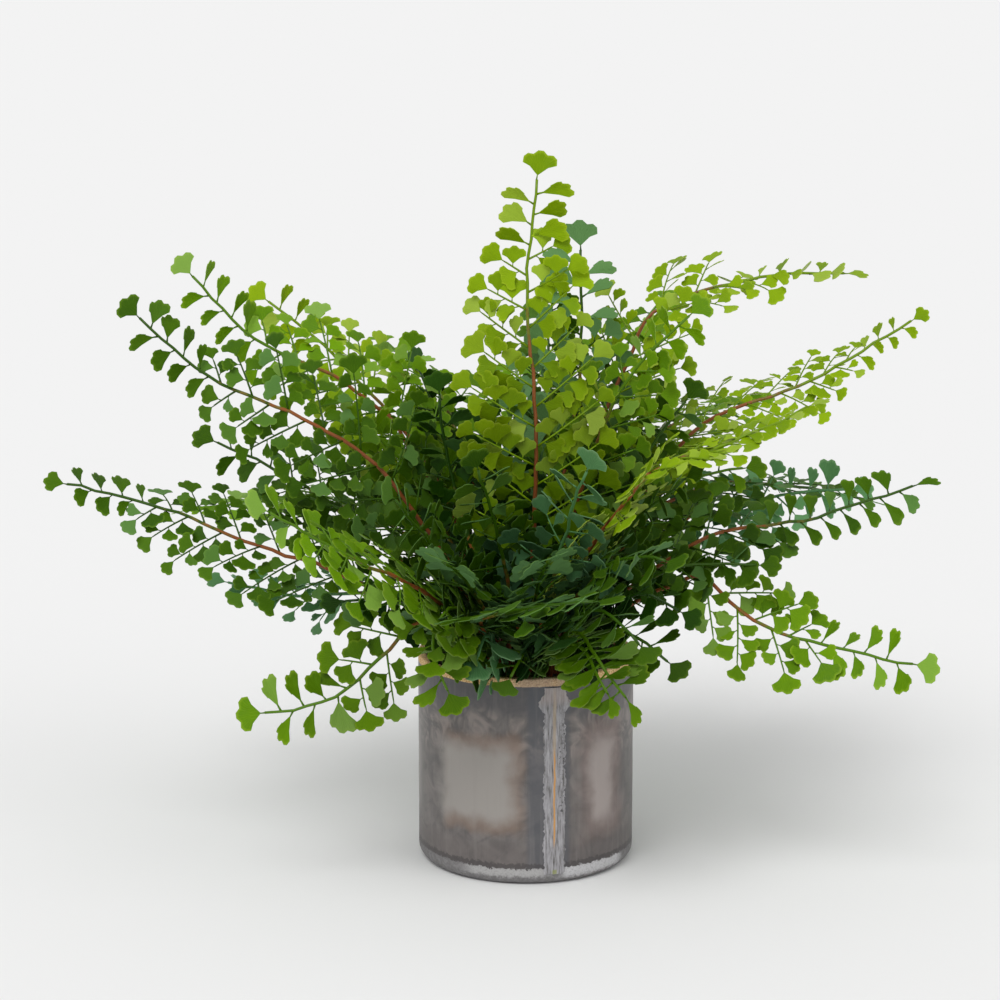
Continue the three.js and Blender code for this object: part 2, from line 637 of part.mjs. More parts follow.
export default fern;
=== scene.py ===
"""A potted maidenhair fern: a round pot with a worn metal-effect coat, its soil, and its leafy fronds.

Lengths in the tables are in millimetres, and the pieces are built in metres.
"""
import json
import math
from bisect import bisect_right
from functools import partial
from itertools import combinations
from typing import NamedTuple

import bmesh
import bpy
from mathutils import Matrix, Vector, noise

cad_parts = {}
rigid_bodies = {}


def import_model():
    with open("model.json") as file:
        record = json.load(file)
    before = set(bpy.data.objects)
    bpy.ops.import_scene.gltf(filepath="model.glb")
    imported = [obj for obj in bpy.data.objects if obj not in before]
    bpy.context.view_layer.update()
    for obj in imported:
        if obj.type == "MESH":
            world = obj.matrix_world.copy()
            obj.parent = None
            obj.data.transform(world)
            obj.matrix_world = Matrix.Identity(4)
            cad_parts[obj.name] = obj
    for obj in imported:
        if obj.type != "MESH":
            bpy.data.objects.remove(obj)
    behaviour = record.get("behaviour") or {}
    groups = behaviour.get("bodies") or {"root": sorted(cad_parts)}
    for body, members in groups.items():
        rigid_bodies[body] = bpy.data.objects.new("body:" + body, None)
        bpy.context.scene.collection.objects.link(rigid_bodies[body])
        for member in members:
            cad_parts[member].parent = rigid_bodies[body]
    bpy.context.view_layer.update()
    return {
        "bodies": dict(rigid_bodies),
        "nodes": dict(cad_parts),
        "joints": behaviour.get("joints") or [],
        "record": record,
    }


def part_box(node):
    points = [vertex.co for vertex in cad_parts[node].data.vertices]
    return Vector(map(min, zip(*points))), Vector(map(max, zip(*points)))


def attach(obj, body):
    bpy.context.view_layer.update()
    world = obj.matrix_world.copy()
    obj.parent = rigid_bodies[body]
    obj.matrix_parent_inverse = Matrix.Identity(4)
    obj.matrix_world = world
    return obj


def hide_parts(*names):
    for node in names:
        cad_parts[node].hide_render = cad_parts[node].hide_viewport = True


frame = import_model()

bl_info = {
    "name": "Potted maidenhair fern",
    "version": (1, 0, 0),
    "blender": (4, 5, 0),
    "location": "3D View > Sidebar > Fern",
    "description": "Builds the pot, the soil, the fronds and the stage of a potted maidenhair fern",
    "category": "Add Mesh",
}

MM = 0.001
BODY = "root"
TINY = 1e-6

# The highest corners of the pot and of the soil in the frame.
pot_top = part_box("pot")[1]
soil_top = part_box("soil")[1]

# The pot, as in the solids, and the steps that its profile is drawn in.
FOOT_RADIUS = 7
POT_WALL = 4
POT_FLOOR = 5
POT_CORNER = 3
RIM_ROUND = 0.9
POT_SIDES = 160
FOOT_STEPS = 7
WALL_STEPS = 30
RIM_STEPS = 3
INNER_RINGS = (5, 12)

# How uneven the pot's wall is, in pairs of wave length and depth, how near its underside and within its wall
# it stays smooth, and the chips of its rim: how far down they reach, their length and depth, and how much of
# the rim they take, from 0 for about half of it.
WALL_WAVES = ((18, 0.16), (4, 0.05))
WALL_SMOOTH = 1
CHIPS_DOWN = 1.2
CHIP_LENGTH = 2.5
CHIP_DEPTH = 0.35
CHIP_MORE = 0.2

# The seam: its angle round the pot in degrees, its two ends, how deep it is let into the wall, how proud it
# stands, how square its shoulders are, how far it flares, at what height and over what length, and the cells
# across and up it.
SEAM_AZIMUTH = -75.2
SEAM_LOW = 6.5
SEAM_HIGH = 112.6
SEAM_SINK = 1.6
SEAM_PROUD = 0.62
SEAM_SQUARE = 5
SEAM_FLARE = 3.6
SEAM_FLARE_UP = 103.5
SEAM_FLARE_LENGTH = 3.2
SEAM_CELLS = (16, 170)

# Roughness of the seam's edges and of its face: plane of the noise, wave lengths and depth. The two edges
# are far apart in the noise, so that they differ.
SEAM_EDGES = ((0, 9, 0.9), (5, 1.9, 1.1))
SEAM_FACE = ((9, 1.3, 7, 0.3), (3, 0.8, 1.4, 0.14))
EDGES_APART = 40

# The soil, as in the solids: its gap to the pot, the drop and the width of the slope at its edge, how it is
# divided, and how far its rough top lies below the plain one, with its waves.
SOIL_GAP = 0.3
SOIL_DROP = 2
SOIL_SLOPE = 5
SLOPE_STEPS = 3
SOIL_SIDES = 96
SOIL_RINGS = 24
SOIL_DIP = 0.9
SOIL_WAVES = ((5, 1.0), (1.7, 0.5))

# Crumbs on the soil: how many, the range of their radii and of their width and height to length, and how
# far they lie from the soil's edge and are sunk.
CRUMBS = 260
CRUMB_RADII = (0.5, 1.7)
CRUMB_WIDTH = (0.6, 1)
CRUMB_HEIGHT = (0.4, 0.9)
CRUMB_EDGE = 4
CRUMB_SUNK = 0.7

# Stems, as in the solids: how steeply they leave the soil, how deep they stand in it, the steps that their
# line and their blade are worked out in, and how far each step turns the blade to the way it faces.
STEM_RISE = 0.8
STEM_SUNK = 20
STEM_DIVISIONS = 200
STEM_NEAR = 1e-4
FRAME_STEPS = 48
FRAME_TURN = 0.3

# Looks of the stems: their sides, the distance between rings, the distance from its tip at which a stem is
# oldest, how far and over what length stems wander from their line, the stiff length at their foot, and how
# far two fronds are apart in the noise, so that they differ.
STEM_SIDES = 7
RING_STEP = 8
FEWEST_RINGS = 10
WOODY = 300
STEM_WANDER = 1.6
STEM_WAVE = 15
STEM_STIFF = 40
NOISE_STEP = 3.7

# Places of the roots, as in the solids.
ROOT_INNER = 8
ROOT_SPREAD = 34
ROOT_CURVE = 1.2
ROOT_REACH = 46
ROOTS_APART = 6.2
ROOT_ROUNDS = 400

# Shoots, as in the solids, counted from the tip down: where the first is, how many of them are single
# leaflets on most fronds, how many leaflets the next ones have, how far apart they are, and the ranges of
# their angle and lift in degrees and of their droop.
FIRST_SHOOT = 8
USUAL_SINGLES = 6
LEAFLETS = (3, 3, 5, 5, 7, 7, 7, 7, 9)
SPACING = (5.5, 5.5, 5.5, 5.5, 5.5, 7.5, 8.5, 9, 9.5, 10, 10.5, 11)
SHOOT_FAN = (48, 60)
SHOOT_LIFT = (-8, 22)
SHOOT_DROOP = (0, 0.22)

# Ribs of the shoots: length with no leaflets and for each pair of them, where the side leaflets start from
# the tip, their spacing, least distance from the stem and range of angles, and the rib's radii and steps.
RIB_BASE = 5
RIB_STEP = 8.6
RIB_FIRST = 4.5
RIB_PITCH = 4.3
RIB_CLEAR = 2
RIB_FAN = (52, 68)
RIB_RADII = (0.62, 0.42)
RIB_RINGS = 5
RIB_SIDES = 4

# Leaflets at a frond's tip, singly on its stem, at a shoot's tip and at its sides: length, and the ranges in
# degrees that they twist and pitch in. All vary in size.
TIP_LEAF = 16.5
SINGLE_LEAF, SINGLE_TWIST, SINGLE_PITCH = 18.5, (10, 55), (-10, 10)
END_LEAF, END_TWIST, END_PITCH = 12.5, (-22, 22), (-10, 14)
SIDE_LEAF, SIDE_TWIST, SIDE_PITCH = 12, (-20, 45), (-14, 20)
SINGLE_CLEAR = 0.4
LEAF_SIZES = (0.86, 1.1)

# Shape of a leaflet: the steps round its edge, then in shares of its length the ring between stalk and edge,
# its thickness, how far its sides curve in, and its stalk, with the length under the blade and the radii,
# and last the sides of its stalk and its veins, which each fork once.
LEAF_STEPS = 9
LEAF_RING = 0.55
LEAF_THICKNESS = 0.02
LEAF_FLARE = 0.34
STALK = 0.13
STALK_UNDER = 0.05
STALK_RADII = (0.034, 0.022)
STALK_SIDES = 3
VEINS = 7

# Outlines of a leaflet: spread in degrees, lobes, depth of the notches, how much the corners are rounded
# off, how much shorter the edge toward the shoot's tip is, arch, cup and ruffle.
LEAF_OUTLINES = (
    (112, 3, 0.13, 0.05, 0.06, 0.08, 0.05, 0.03),
    (94, 3, 0.09, 0.16, 0.16, 0.14, -0.04, 0.03),
    (74, 3, 0.10, 0.14, 0.30, 0.10, 0.06, 0.03),
    (52, 3, 0.10, 0.12, 0.44, 0.08, 0.05, 0.02),
    (35, 2, 0.08, 0.10, 0.24, 0.08, 0.05, 0.01),
)
BROAD, ROUND, WEDGE, NARROW, STRAP = range(len(LEAF_OUTLINES))
END_OUTLINES = (BROAD, ROUND)
SIDE_OUTLINES = (ROUND, WEDGE, BROAD)

# The plant's crown, where painted shade makes the leaflets darkest, and how far that painted shade reaches.
CROWN = Vector((0, -20, 150))
CROWN_REACH = 175

# Seeds of the draws. Each frond's are a step past those of the one before.
CRUMB_SEED = 77
SHOOT_SEED, SHOOT_SEED_STEP = 1000, 77
LEAF_SEED, LEAF_SEED_STEP = 5000, 91

# The stage: the camera's place in metres and how far it looks down in degrees, the width of its picture, the
# half width of the floor in metres, and where the two lamps stand and how wide they look, in degrees.
CAMERA_PLACE = (-0.0144, -1.8, 0.62)
CAMERA_DOWN = 13.035
SENSOR_WIDTH = 36
FLOOR_REACH = 10
LAMPS = {"key": (-112, 53), "fill": (-35, 38)}
LAMP_SPREAD = 34


class Style(NamedTuple):
    """Single leaflets of a frond: their outlines, those of its tip leaflet, and how many degrees wider than
    shoots they stand off the stem.
    """

    singles: tuple
    tip: tuple
    fan: float


FANS = Style((NARROW, NARROW, WEDGE), (BROAD,), 10)
STRAPS = Style((STRAP, STRAP, NARROW), (NARROW,), 20)


class Plan(NamedTuple):
    """A frond: the points that its stem passes after the soil, the way that its blade faces, and its habit.

    Bare is the length of stem without shoots. Face_tip is the way that the blade faces at its tip, where
    that differs. Size is that of the blade and its leaflets, and big is that of its leaflets alone. Loose is
    how far these stand off the blade, singles how many shoots at the tip are single leaflets, and shaded
    how much painted shade darkens the leaflets near the crown.
    """

    name: str
    tone: str
    path: tuple
    face: tuple
    bare: float
    face_tip: tuple = None
    size: float = 1.0
    big: float = 1.0
    loose: float = 1.0
    singles: int = USUAL_SINGLES
    style: Style = FANS
    shaded: float = 1.0


# The fronds that show in the photograph or fill the plant's middle, then those that close its back.
FRONDS = (
    Plan("top", "lime", ((5, -30, 250), (0, -30, 325), (6, -25, 384)),
         (0, -1, 0.15), 60, big=1.12, loose=0.9),
    Plan("top_back", "deep", ((30, 50, 260), (31, 55, 334)),
         (0.1, 1, -0.2), 70, size=1.12, big=1.1, loose=0.9),
    Plan("right_high", "lime", ((65, 50, 290), (120, 60, 315), (179, 65, 319)),
         (-0.3, -0.8, 0.5), 70, face_tip=(0, -0.1, 1), size=1.05, big=0.95, singles=8),
    Plan("right_mid", "mid", ((45, -10, 255), (88, -10, 308)), (-0.3, -0.9, 0.4), 40),
    Plan("right_arm", "lime", ((90, 20, 235), (155, 20, 265), (212, 20, 300)),
         (-0.35, -0.1, 0.9), 98, face_tip=(-0.2, -0.5, 0.85), size=0.86, big=0.92, loose=0.8, singles=7),
    Plan("lime_edge", "lime", ((60, -70, 230), (110, -60, 250), (150, -50, 265)),
         (-0.3, -0.02, 0.95), 56, face_tip=(-0.1, 0.04, 1), size=0.72, big=1.25, loose=0.6, singles=9,
         shaded=0.1),
    Plan("right_dark", "deep", ((95, -20, 185), (155, -10, 195), (213, 0, 211)),
         (0, -0.6, 0.8), 70, face_tip=(0, -0.5, 0.85), size=1.05, big=1.12, loose=0.5, singles=14,
         style=STRAPS),
    Plan("right_dark_back", "blue", ((95, 60, 180), (140, 65, 190), (186, 70, 194)), (0, -0.7, 0.7), 70),
    Plan("right_small", "mid", ((80, 30, 200), (122, 40, 212)), (0, -0.6, 0.8), 50, size=1.05),
    Plan("right_low", "mid", ((90, -40, 170), (120, -50, 150), (145, -55, 140), (208, -60, 126)),
         (0.2, -0.5, 0.85), 95, face_tip=(0, -0.7, 0.6), size=1.1, loose=0.9, singles=8),
    Plan("front_right", "mid", ((26, -70, 147), (38, -95, 138), (51, -106, 121)),
         (0.2, -0.85, 0.5), 24, size=0.55, big=2.3, loose=0.3, singles=30, style=STRAPS),
    Plan("left_low", "mid", ((-55, -60, 150), (-80, -65, 130), (-105, -70, 110), (-141, -70, 102)),
         (-0.2, -0.75, 0.5), 75, face_tip=(-0.1, -0.9, 0.4), size=1.15, loose=0.9, singles=7),
    Plan("front_left", "mid", ((-40, -85, 165), (-50, -100, 150), (-42, -105, 125)),
         (-0.2, -0.85, 0.4), 22, size=0.85, big=1.25, loose=0.8, singles=5),
    Plan("left_front", "mid", ((-50, -70, 165), (-90, -120, 200), (-131, -150, 231)),
         (0.1, -0.35, 0.9), 38, face_tip=(0, -0.6, 0.8), big=1.15, loose=0.4, singles=5),
    Plan("left_dark", "deep", ((-90, 0, 155), (-155, 0, 180), (-205, 0, 200), (-253, 0, 212)),
         (0.05, -0.5, 0.85), 80, size=1.05, big=0.9, loose=0.7, singles=7),
    Plan("left_low_blue", "blue", ((-80, 50, 135), (-130, 55, 135), (-170, 60, 141)),
         (0, -0.3, 0.95), 80, size=0.95),
    Plan("left_high", "deep", ((-75, -20, 220), (-125, -20, 255), (-170, -20, 275), (-208, -20, 309)),
         (0.3, -0.85, 0.5), 90, size=1.05, big=0.95, singles=8),
    Plan("left_high_2", "mid", ((-55, 20, 220), (-100, 20, 265), (-150, 20, 290), (-183, 20, 325)),
         (0.3, -0.8, 0.5), 90, size=1.05, big=0.95, singles=8),
    Plan("left_back", "lime", ((-70, 90, 220), (-110, 100, 265), (-147, 105, 297)), (0.1, -0.7, 0.7), 90),
    Plan("left_back_2", "mid", ((-65, 80, 215), (-75, 90, 256)), (0.1, -0.8, 0.5), 50, size=0.9),
    Plan("left_mid", "deep", ((-105, 30, 190), (-145, 35, 215), (-173, 40, 227)),
         (0.1, -0.6, 0.8), 90, size=1.1),
    Plan("centre_left", "dark", ((-45, 50, 225), (-59, 60, 265)), (-0.9, -0.5, 0.2), 30),
    Plan("centre_left_2", "dark", ((-40, -10, 215), (-48, -20, 266)), (0, -1, 0.2), 25),
    Plan("centre_front", "blue", ((20, -70, 200), (30, -100, 242)), (0, -0.8, 0.6), 20, size=1.15),
    Plan("front_edge", "deep", ((-25, -80, 155), (5, -125, 175), (33, -145, 184)),
         (0, 0, 1), 22, big=1.25, loose=0.5, shaded=0.7),
    Plan("front_low", "blue", ((-20, -70, 145), (-26, -90, 139)),
         (0, -0.9, 0.5), 12, size=1.1, big=1.1, loose=0.25, singles=5, shaded=0.3),
    Plan("rim_front", "mid", ((0, -60, 135), (-8, -80, 125)), (0, -0.8, 0.6), 12, size=0.9),
    Plan("right_front_low", "dark", ((55, -60, 165), (81, -70, 159)), (0, -0.5, 0.85), 18),
    Plan("centre_right", "deep", ((55, -40, 195), (84, -55, 227)), (0, -0.5, 0.85), 22),
    Plan("centre_deep", "deep", ((-15, -60, 195), (-26, -85, 239)), (0, -0.9, 0.45), 20),
    Plan("centre_left_front", "deep", ((-45, -70, 185), (-69, -105, 228)), (0, -0.7, 0.7), 20),
    Plan("right_inner", "deep", ((70, -32, 168), (124, -44, 178)), (0, -0.5, 0.85), 22),
    Plan("right_inner_2", "deep", ((45, 20, 210), (72, 30, 253)), (0, -0.9, 0.45), 25),
    Plan("right_upright", "deep", ((65, 0, 225), (87, 0, 259)), (0, -0.9, 0.45), 25),
    Plan("centre_up", "dark", ((-10, 0, 205), (-19, 0, 243)), (0, -0.9, 0.45), 22),
    Plan("left_inner", "mid", ((-55, 0, 205), (-88, -10, 248)), (0.2, -0.85, 0.5), 28),
    Plan("left_inner_2", "deep", ((-70, 10, 180), (-120, 10, 201)), (0, -0.6, 0.8), 24),
    Plan("left_inner_low", "dark", ((-65, -40, 155), (-98, -50, 159)), (0, -0.5, 0.85), 18),
    Plan("front_centre", "deep", ((5, -85, 175), (12, -130, 202)), (0, -0.7, 0.75), 16),
    Plan("front_mid_right", "deep", ((35, -90, 165), (58, -120, 154)), (0.1, -0.7, 0.7), 16),
    Plan("front_mid_left", "deep", ((-30, -85, 175), (-43, -130, 201)), (0, -0.6, 0.8), 16),
    Plan("front_right_mid", "deep", ((40, -80, 185), (71, -120, 199)), (0, -0.6, 0.8), 16),
    Plan("front_low_right", "dark", ((10, -70, 145), (17, -100, 151)), (0, -0.8, 0.6), 10),
    Plan("skirt_left", "mid", ((-36, -72, 150), (-48, -105, 142)), (-0.2, -0.8, 0.6), 12),
    Plan("skirt_right", "mid", ((25, -75, 142), (42, -110, 125)),
         (0.1, -0.8, 0.6), 10, size=0.72, big=1.65, loose=0.3, singles=20, style=STRAPS),
    Plan("skirt_right_2", "deep", ((45, -60, 145), (75, -85, 136)), (0.2, -0.8, 0.6), 12),
    Plan("skirt_far_left", "deep", ((-50, -42, 156), (-86, -62, 157)), (-0.2, -0.8, 0.6), 14),
    Plan("back_right_low", "deep", ((85, 60, 190), (200, 125, 175)), (0.3, 0.2, 0.9), 60),
    Plan("back_right", "mid", ((70, 85, 215), (140, 175, 225)), (0.2, 0.3, 0.9), 35),
    Plan("back_right_high", "mid", ((40, 70, 240), (80, 145, 290)), (0.1, 0.2, 0.9), 30),
    Plan("back_low", "deep", ((10, 90, 180), (25, 200, 160)), (0, 0.3, 0.9), 30),
    Plan("back", "mid", ((0, 90, 220), (-5, 195, 240)), (0, 0.3, 0.9), 35),
    Plan("back_left_high", "mid", ((-40, 70, 230), (-80, 140, 265)), (-0.1, 0.2, 0.9), 30),
    Plan("back_left", "deep", ((-70, 85, 200), (-135, 175, 200)), (-0.2, 0.3, 0.9), 35),
    Plan("back_left_low", "mid", ((-85, 60, 180), (-195, 120, 170)), (-0.3, 0.2, 0.9), 60),
    Plan("back_up", "deep", ((10, 55, 230), (15, 95, 300)), (0, 0.1, 0.9), 25),
)

# sRGB colours of the leaves: shaded green, sunlit green, margin and underside.
LEAF_COLOURS = {
    "lime": ("#5e7e00", "#809f00", "#9ab220", "#a2b658"),
    "mid": ("#3d6400", "#669000", "#8aa826", "#8aaa62"),
    "deep": ("#204200", "#426600", "#64841c", "#608a52"),
    # Painted shade: the darkest greens, for the fronds deep among the others.
    "dark": ("#112c00", "#274e00", "#487016", "#406434"),
    "blue": ("#416e40", "#5f905a", "#7ca270", "#709c70"),
}


class Draw:
    """Seeded draws, each from the one before by a product and a remainder, the same on every run."""

    FACTOR = 16807
    MODULUS = 2 ** 31 - 1

    def __init__(self, seed):
        self.state = seed

    def between(self, low, high):
        self.state = self.state * self.FACTOR % self.MODULUS
        return low + (high - low) * self.state / self.MODULUS

    def pick(self, choices):
        return choices[min(int(self.between(0, len(choices))), len(choices) - 1)]


def linear(colour):
    """A linear RGBA colour from an sRGB hex value."""
    shares = [int(colour[i:i + 2], 16) / 255 for i in (1, 3, 5)]
    return [c / 12.92 if c <= 0.04045 else ((c + 0.055) / 1.055) ** 2.4 for c in shares] + [1.0]


def lerp(low, high, share):
    """The value at a share of the way from low to high."""
    return low + (high - low) * share


def clamp(value, low=0.0, high=1.0):
    return max(low, min(high, value))


def add_node(tree, kind, inputs=None, out=0, stops=(), **settings):
    """Adds a node with its settings and links, and gives one of its outputs.

    Inputs go by name or number. Those of a Map Range are its value, the range that it comes from and the one
    that it goes to. Those of a Mix are its share, two numbers at 2 and 3, and two colours at 6 and 7.
    """
    made = tree.nodes.new(kind)
    for name, value in settings.items():
        setattr(made, name, value)
    for name, value in (inputs or {}).items():
        if isinstance(value, bpy.types.NodeSocket):
            tree.links.new(value, made.inputs[name])
        else:
            made.inputs[name].default_value = value
    for number, (place, colour) in enumerate(stops):
        elements = made.color_ramp.elements
        element = elements[number] if number < 2 else elements.new(place)
        element.position = place
        element.color = colour
    return made.outputs[out] if made.outputs else None


def new_material(name):
    """An empty node material, and a function that adds a node to it."""
    made = bpy.data.materials.new(name)
    made.use_nodes = True
    made.node_tree.nodes.clear()
    return made, partial(add_node, made.node_tree)


def finish_material(add, colour, roughness, bump, **constants):
    """The shader of a material and its output. Constants are set on the shader's own sockets."""
    inputs = {"Base Color": colour, "Roughness": roughness, "Normal": bump}
    inputs.update({name.replace("_", " "): value for name, value in constants.items()})
    add("ShaderNodeOutputMaterial", {"Surface": add("ShaderNodeBsdfPrincipled", inputs)})


def leaf_material(tone):
    """Living fern leaf, thin and satin: veins fan out from the stalk, and the margin is paler."""
    shade, light, margin, underside = (linear(colour) for colour in LEAF_COLOURS[tone])
    made, add = new_material(f"fern_leaf_{tone}")
    around = add("ShaderNodeSeparateXYZ", {0: add("ShaderNodeUVMap", uv_map="leaf")})
    outward = around.node.outputs["Y"]
    place = add("ShaderNodeTexCoord", out="Object")
    mottle = add("ShaderNodeTexNoise", {"Vector": place, "Scale": 1 / (6 * MM), "Detail": 2.0})
    own = add("ShaderNodeAttribute", attribute_name="tone", out="Fac")
    age = add("ShaderNodeAttribute", attribute_name="age", out="Fac")
    under = add("ShaderNodeAttribute", attribute_name="under", out="Fac")
    mixed = add("ShaderNodeMath", {0: mottle, 1: 0.45, 2: own}, operation="MULTIPLY_ADD")
    green = add("ShaderNodeMix", {0: mixed, 6: shade, 7: light}, out=2, data_type="RGBA")
    few = add("ShaderNodeMath", {0: around, 1: 2 * math.pi * VEINS}, operation="MULTIPLY")
    many = add("ShaderNodeMath", {0: around, 1: 4 * math.pi * VEINS}, operation="MULTIPLY")
    forked = add("ShaderNodeMath", {0: outward, 1: 0.45}, operation="GREATER_THAN")
    angle = add("ShaderNodeMix", {0: forked, 2: few, 3: many}, data_type="FLOAT")
    ridge = add("ShaderNodeMath", {0: angle}, operation="COSINE")
    vein = add("ShaderNodeMapRange", {0: ridge, 1: 0.4, 2: 1.0, 3: 0.0, 4: 1.0})
    veined = add("ShaderNodeMath", {0: vein, 1: 0.15}, operation="MULTIPLY")
    green = add("ShaderNodeMix", {0: veined, 6: green, 7: margin}, out=2, data_type="RGBA")
    rim = add("ShaderNodeMapRange", {0: outward, 1: 0.86, 2: 1.0, 3: 0.0, 4: 0.6})
    green = add("ShaderNodeMix", {0: rim, 6: green, 7: margin}, out=2, data_type="RGBA")
    # Real undersides take the underside colour. Some leaflets, drawn at random, take part of it too, as
    # painted sheen.
    pale = add("ShaderNodeMapRange", {0: own, 1: 0.7, 2: 1.0, 3: 0.0, 4: 0.5})
    below = add("ShaderNodeMath", {0: under, 1: 0.8, 2: pale}, operation="MULTIPLY_ADD")
    green = add("ShaderNodeMix", {0: below, 6: green, 7: underside}, out=2, data_type="RGBA")
    # Painted shade: leaflets near the plant's crown are darker and a little bluer.
    shade_and_age_factor = add("ShaderNodeMapRange", {0: age, 1: 0.0, 2: 0.75, 3: 1.1, 4: 0.42})
    bluer = add("ShaderNodeMapRange", {0: age, 1: 0.45, 2: 0.9, 3: 0.5, 4: 0.525})
    green = add("ShaderNodeHueSaturation", {"Hue": bluer, "Value": shade_and_age_factor, "Color": green})
    rough = add("ShaderNodeMapRange", {0: mottle, 1: 0.3, 2: 0.7, 3: 0.4, 4: 0.55})
    bump = add("ShaderNodeBump", {"Strength": 0.35, "Distance": 0.25 * MM, "Height": vein})
    finish_material(add, green, rough, bump, Specular_IOR_Level=0.09)
    return made


def stem_material(tone):
    """Wiry fern stem, hard and a little glossy: red-brown low down, and at its tip a leaf green darkened as
    painted shade.
    """
    made, add = new_material(f"fern_stem_{tone}")
    shade, light = (linear(colour) for colour in LEAF_COLOURS[tone][:2])
    # Painted shade: the tip's green is nearer the shaded leaf green than the sunlit one, for stems under the
    # crown.
    green = [lerp(dark, bright, 0.4) for dark, bright in zip(shade, light)]
    place = add("ShaderNodeTexCoord", out="Object")
    streak = add("ShaderNodeTexNoise", {"Vector": place, "Scale": 1 / (4 * MM), "Detail": 2.0})
    age = add("ShaderNodeAttribute", attribute_name="age", out="Fac")
    woody = add("ShaderNodeAttribute", attribute_name="under", out="Fac")
    shade_and_age_factor = add("ShaderNodeMath", {0: age, 1: woody}, operation="MULTIPLY")
    worn = add("ShaderNodeMath", {0: streak, 1: 0.3, 2: shade_and_age_factor}, operation="MULTIPLY_ADD")
    colour = add("ShaderNodeValToRGB", {0: worn}, stops=(
        (0.36, green), (0.42, linear("#6e6424")), (0.48, linear("#8e5226")), (0.95, linear("#552a16")),
    ))
    rough = add("ShaderNodeMapRange", {0: streak, 1: 0.3, 2: 0.7, 3: 0.28, 4: 0.45})
    bump = add("ShaderNodeBump", {"Strength": 0.3, "Distance": 0.1 * MM, "Height": streak})
    finish_material(add, colour, rough, bump, Specular_IOR_Level=0.25)
    return made


def soil_material():
    """Potting mix, loose and crumbly: dark moist peat with paler fibres."""
    made, add = new_material("peat_potting_mix")
    place = add("ShaderNodeTexCoord", out="Object")
    grain = add("ShaderNodeTexNoise", {
        "Vector": place, "Scale": 1 / (2.2 * MM), "Detail": 6.0, "Roughness": 0.7,
    })
    fibre = add("ShaderNodeTexVoronoi", {"Vector": place, "Scale": 1 / (3 * MM)})
    colour = add("ShaderNodeValToRGB", {0: grain}, stops=(
        (0.30, linear("#0d0906")), (0.55, linear("#231811")), (0.75, linear("#45321f")),
    ))
    rough = add("ShaderNodeMapRange", {0: fibre, 1: 0.0, 2: 0.6, 3: 0.8, 4: 0.98})
    bump = add("ShaderNodeBump", {"Strength": 0.9, "Distance": 0.8 * MM, "Height": grain})
    finish_material(add, colour, rough, bump, Specular_IOR_Level=0.2)
    return made


def floor_material():
    """Studio floor paper, matt and pale."""
    made, add = new_material("studio_paper")
    place = add("ShaderNodeTexCoord", out="Object")
    grain = add("ShaderNodeTexNoise", {"Vector": place, "Scale": 1 / (0.8 * MM), "Detail": 2.0})
    colour = bpy.context.scene.fern_stage.floor_colour[:] + (1.0,)
    bump = add("ShaderNodeBump", {"Strength": 0.02, "Distance": 0.05 * MM, "Height": grain})
    finish_material(add, colour, 0.95, bump, Specular_IOR_Level=0.0)
    return made


def patch(add, *spans):
    """1 where each value is between its low and its high, and 0 outside, with soft ends."""
    share = 1.0
    for value, low, high, soft in spans:
        for start, end in ((low - soft, low + soft), (high + soft, high - soft)):
            inside = add("ShaderNodeMapRange", {0: value, 1: start, 2: end}, interpolation_type="SMOOTHSTEP")
            share = add("ShaderNodeMath", {0: inside, 1: share}, operation="MULTIPLY")
    return share


def layered(add, colour, layers):
    """A colour under layers, each with its share, its strength and its colour."""
    for share, strength, top in layers:
        amount = add("ShaderNodeMath", {0: share, 1: strength}, operation="MULTIPLY")
        colour = add("ShaderNodeMix", {0: amount, 6: colour, 7: linear(top)}, out=2, data_type="RGBA")
    return colour


def pot_places(add, wander):
    """Places on the pot in mm: round it from the seam, up it, and both with their edges made to wander."""
    place = add("ShaderNodeTexCoord", out="Object")
    turned = add("ShaderNodeMapping", {
        "Vector": place, "Rotation": (0, 0, math.radians(-SEAM_AZIMUTH)), "Scale": (1 / MM, 1 / MM, 1 / MM),
    })
    split = add("ShaderNodeSeparateXYZ", {0: turned})
    angle = add("ShaderNodeMath", {0: split.node.outputs[1], 1: split}, operation="ARCTAN2")
    radius = bpy.context.scene.fern_pot.radius / MM
    round_it = add("ShaderNodeMath", {0: angle, 1: radius}, operation="MULTIPLY")
    up_it = split.node.outputs[2]
    warp = add("ShaderNodeTexNoise", {"Vector": turned, "Scale": 1 / 16, "Detail": 4.0}, out="Color")
    offsets = add("ShaderNodeSeparateXYZ", {0: warp})
    moved = []
    for value, offset in ((round_it, offsets), (up_it, offsets.node.outputs[1])):
        centred = add("ShaderNodeMath", {0: offset, 1: 0.5}, operation="SUBTRACT")
        moved.append(add("ShaderNodeMath", {0: centred, 1: wander, 2: value}, operation="MULTIPLY_ADD"))
    return turned, round_it, up_it, moved[0], moved[1]


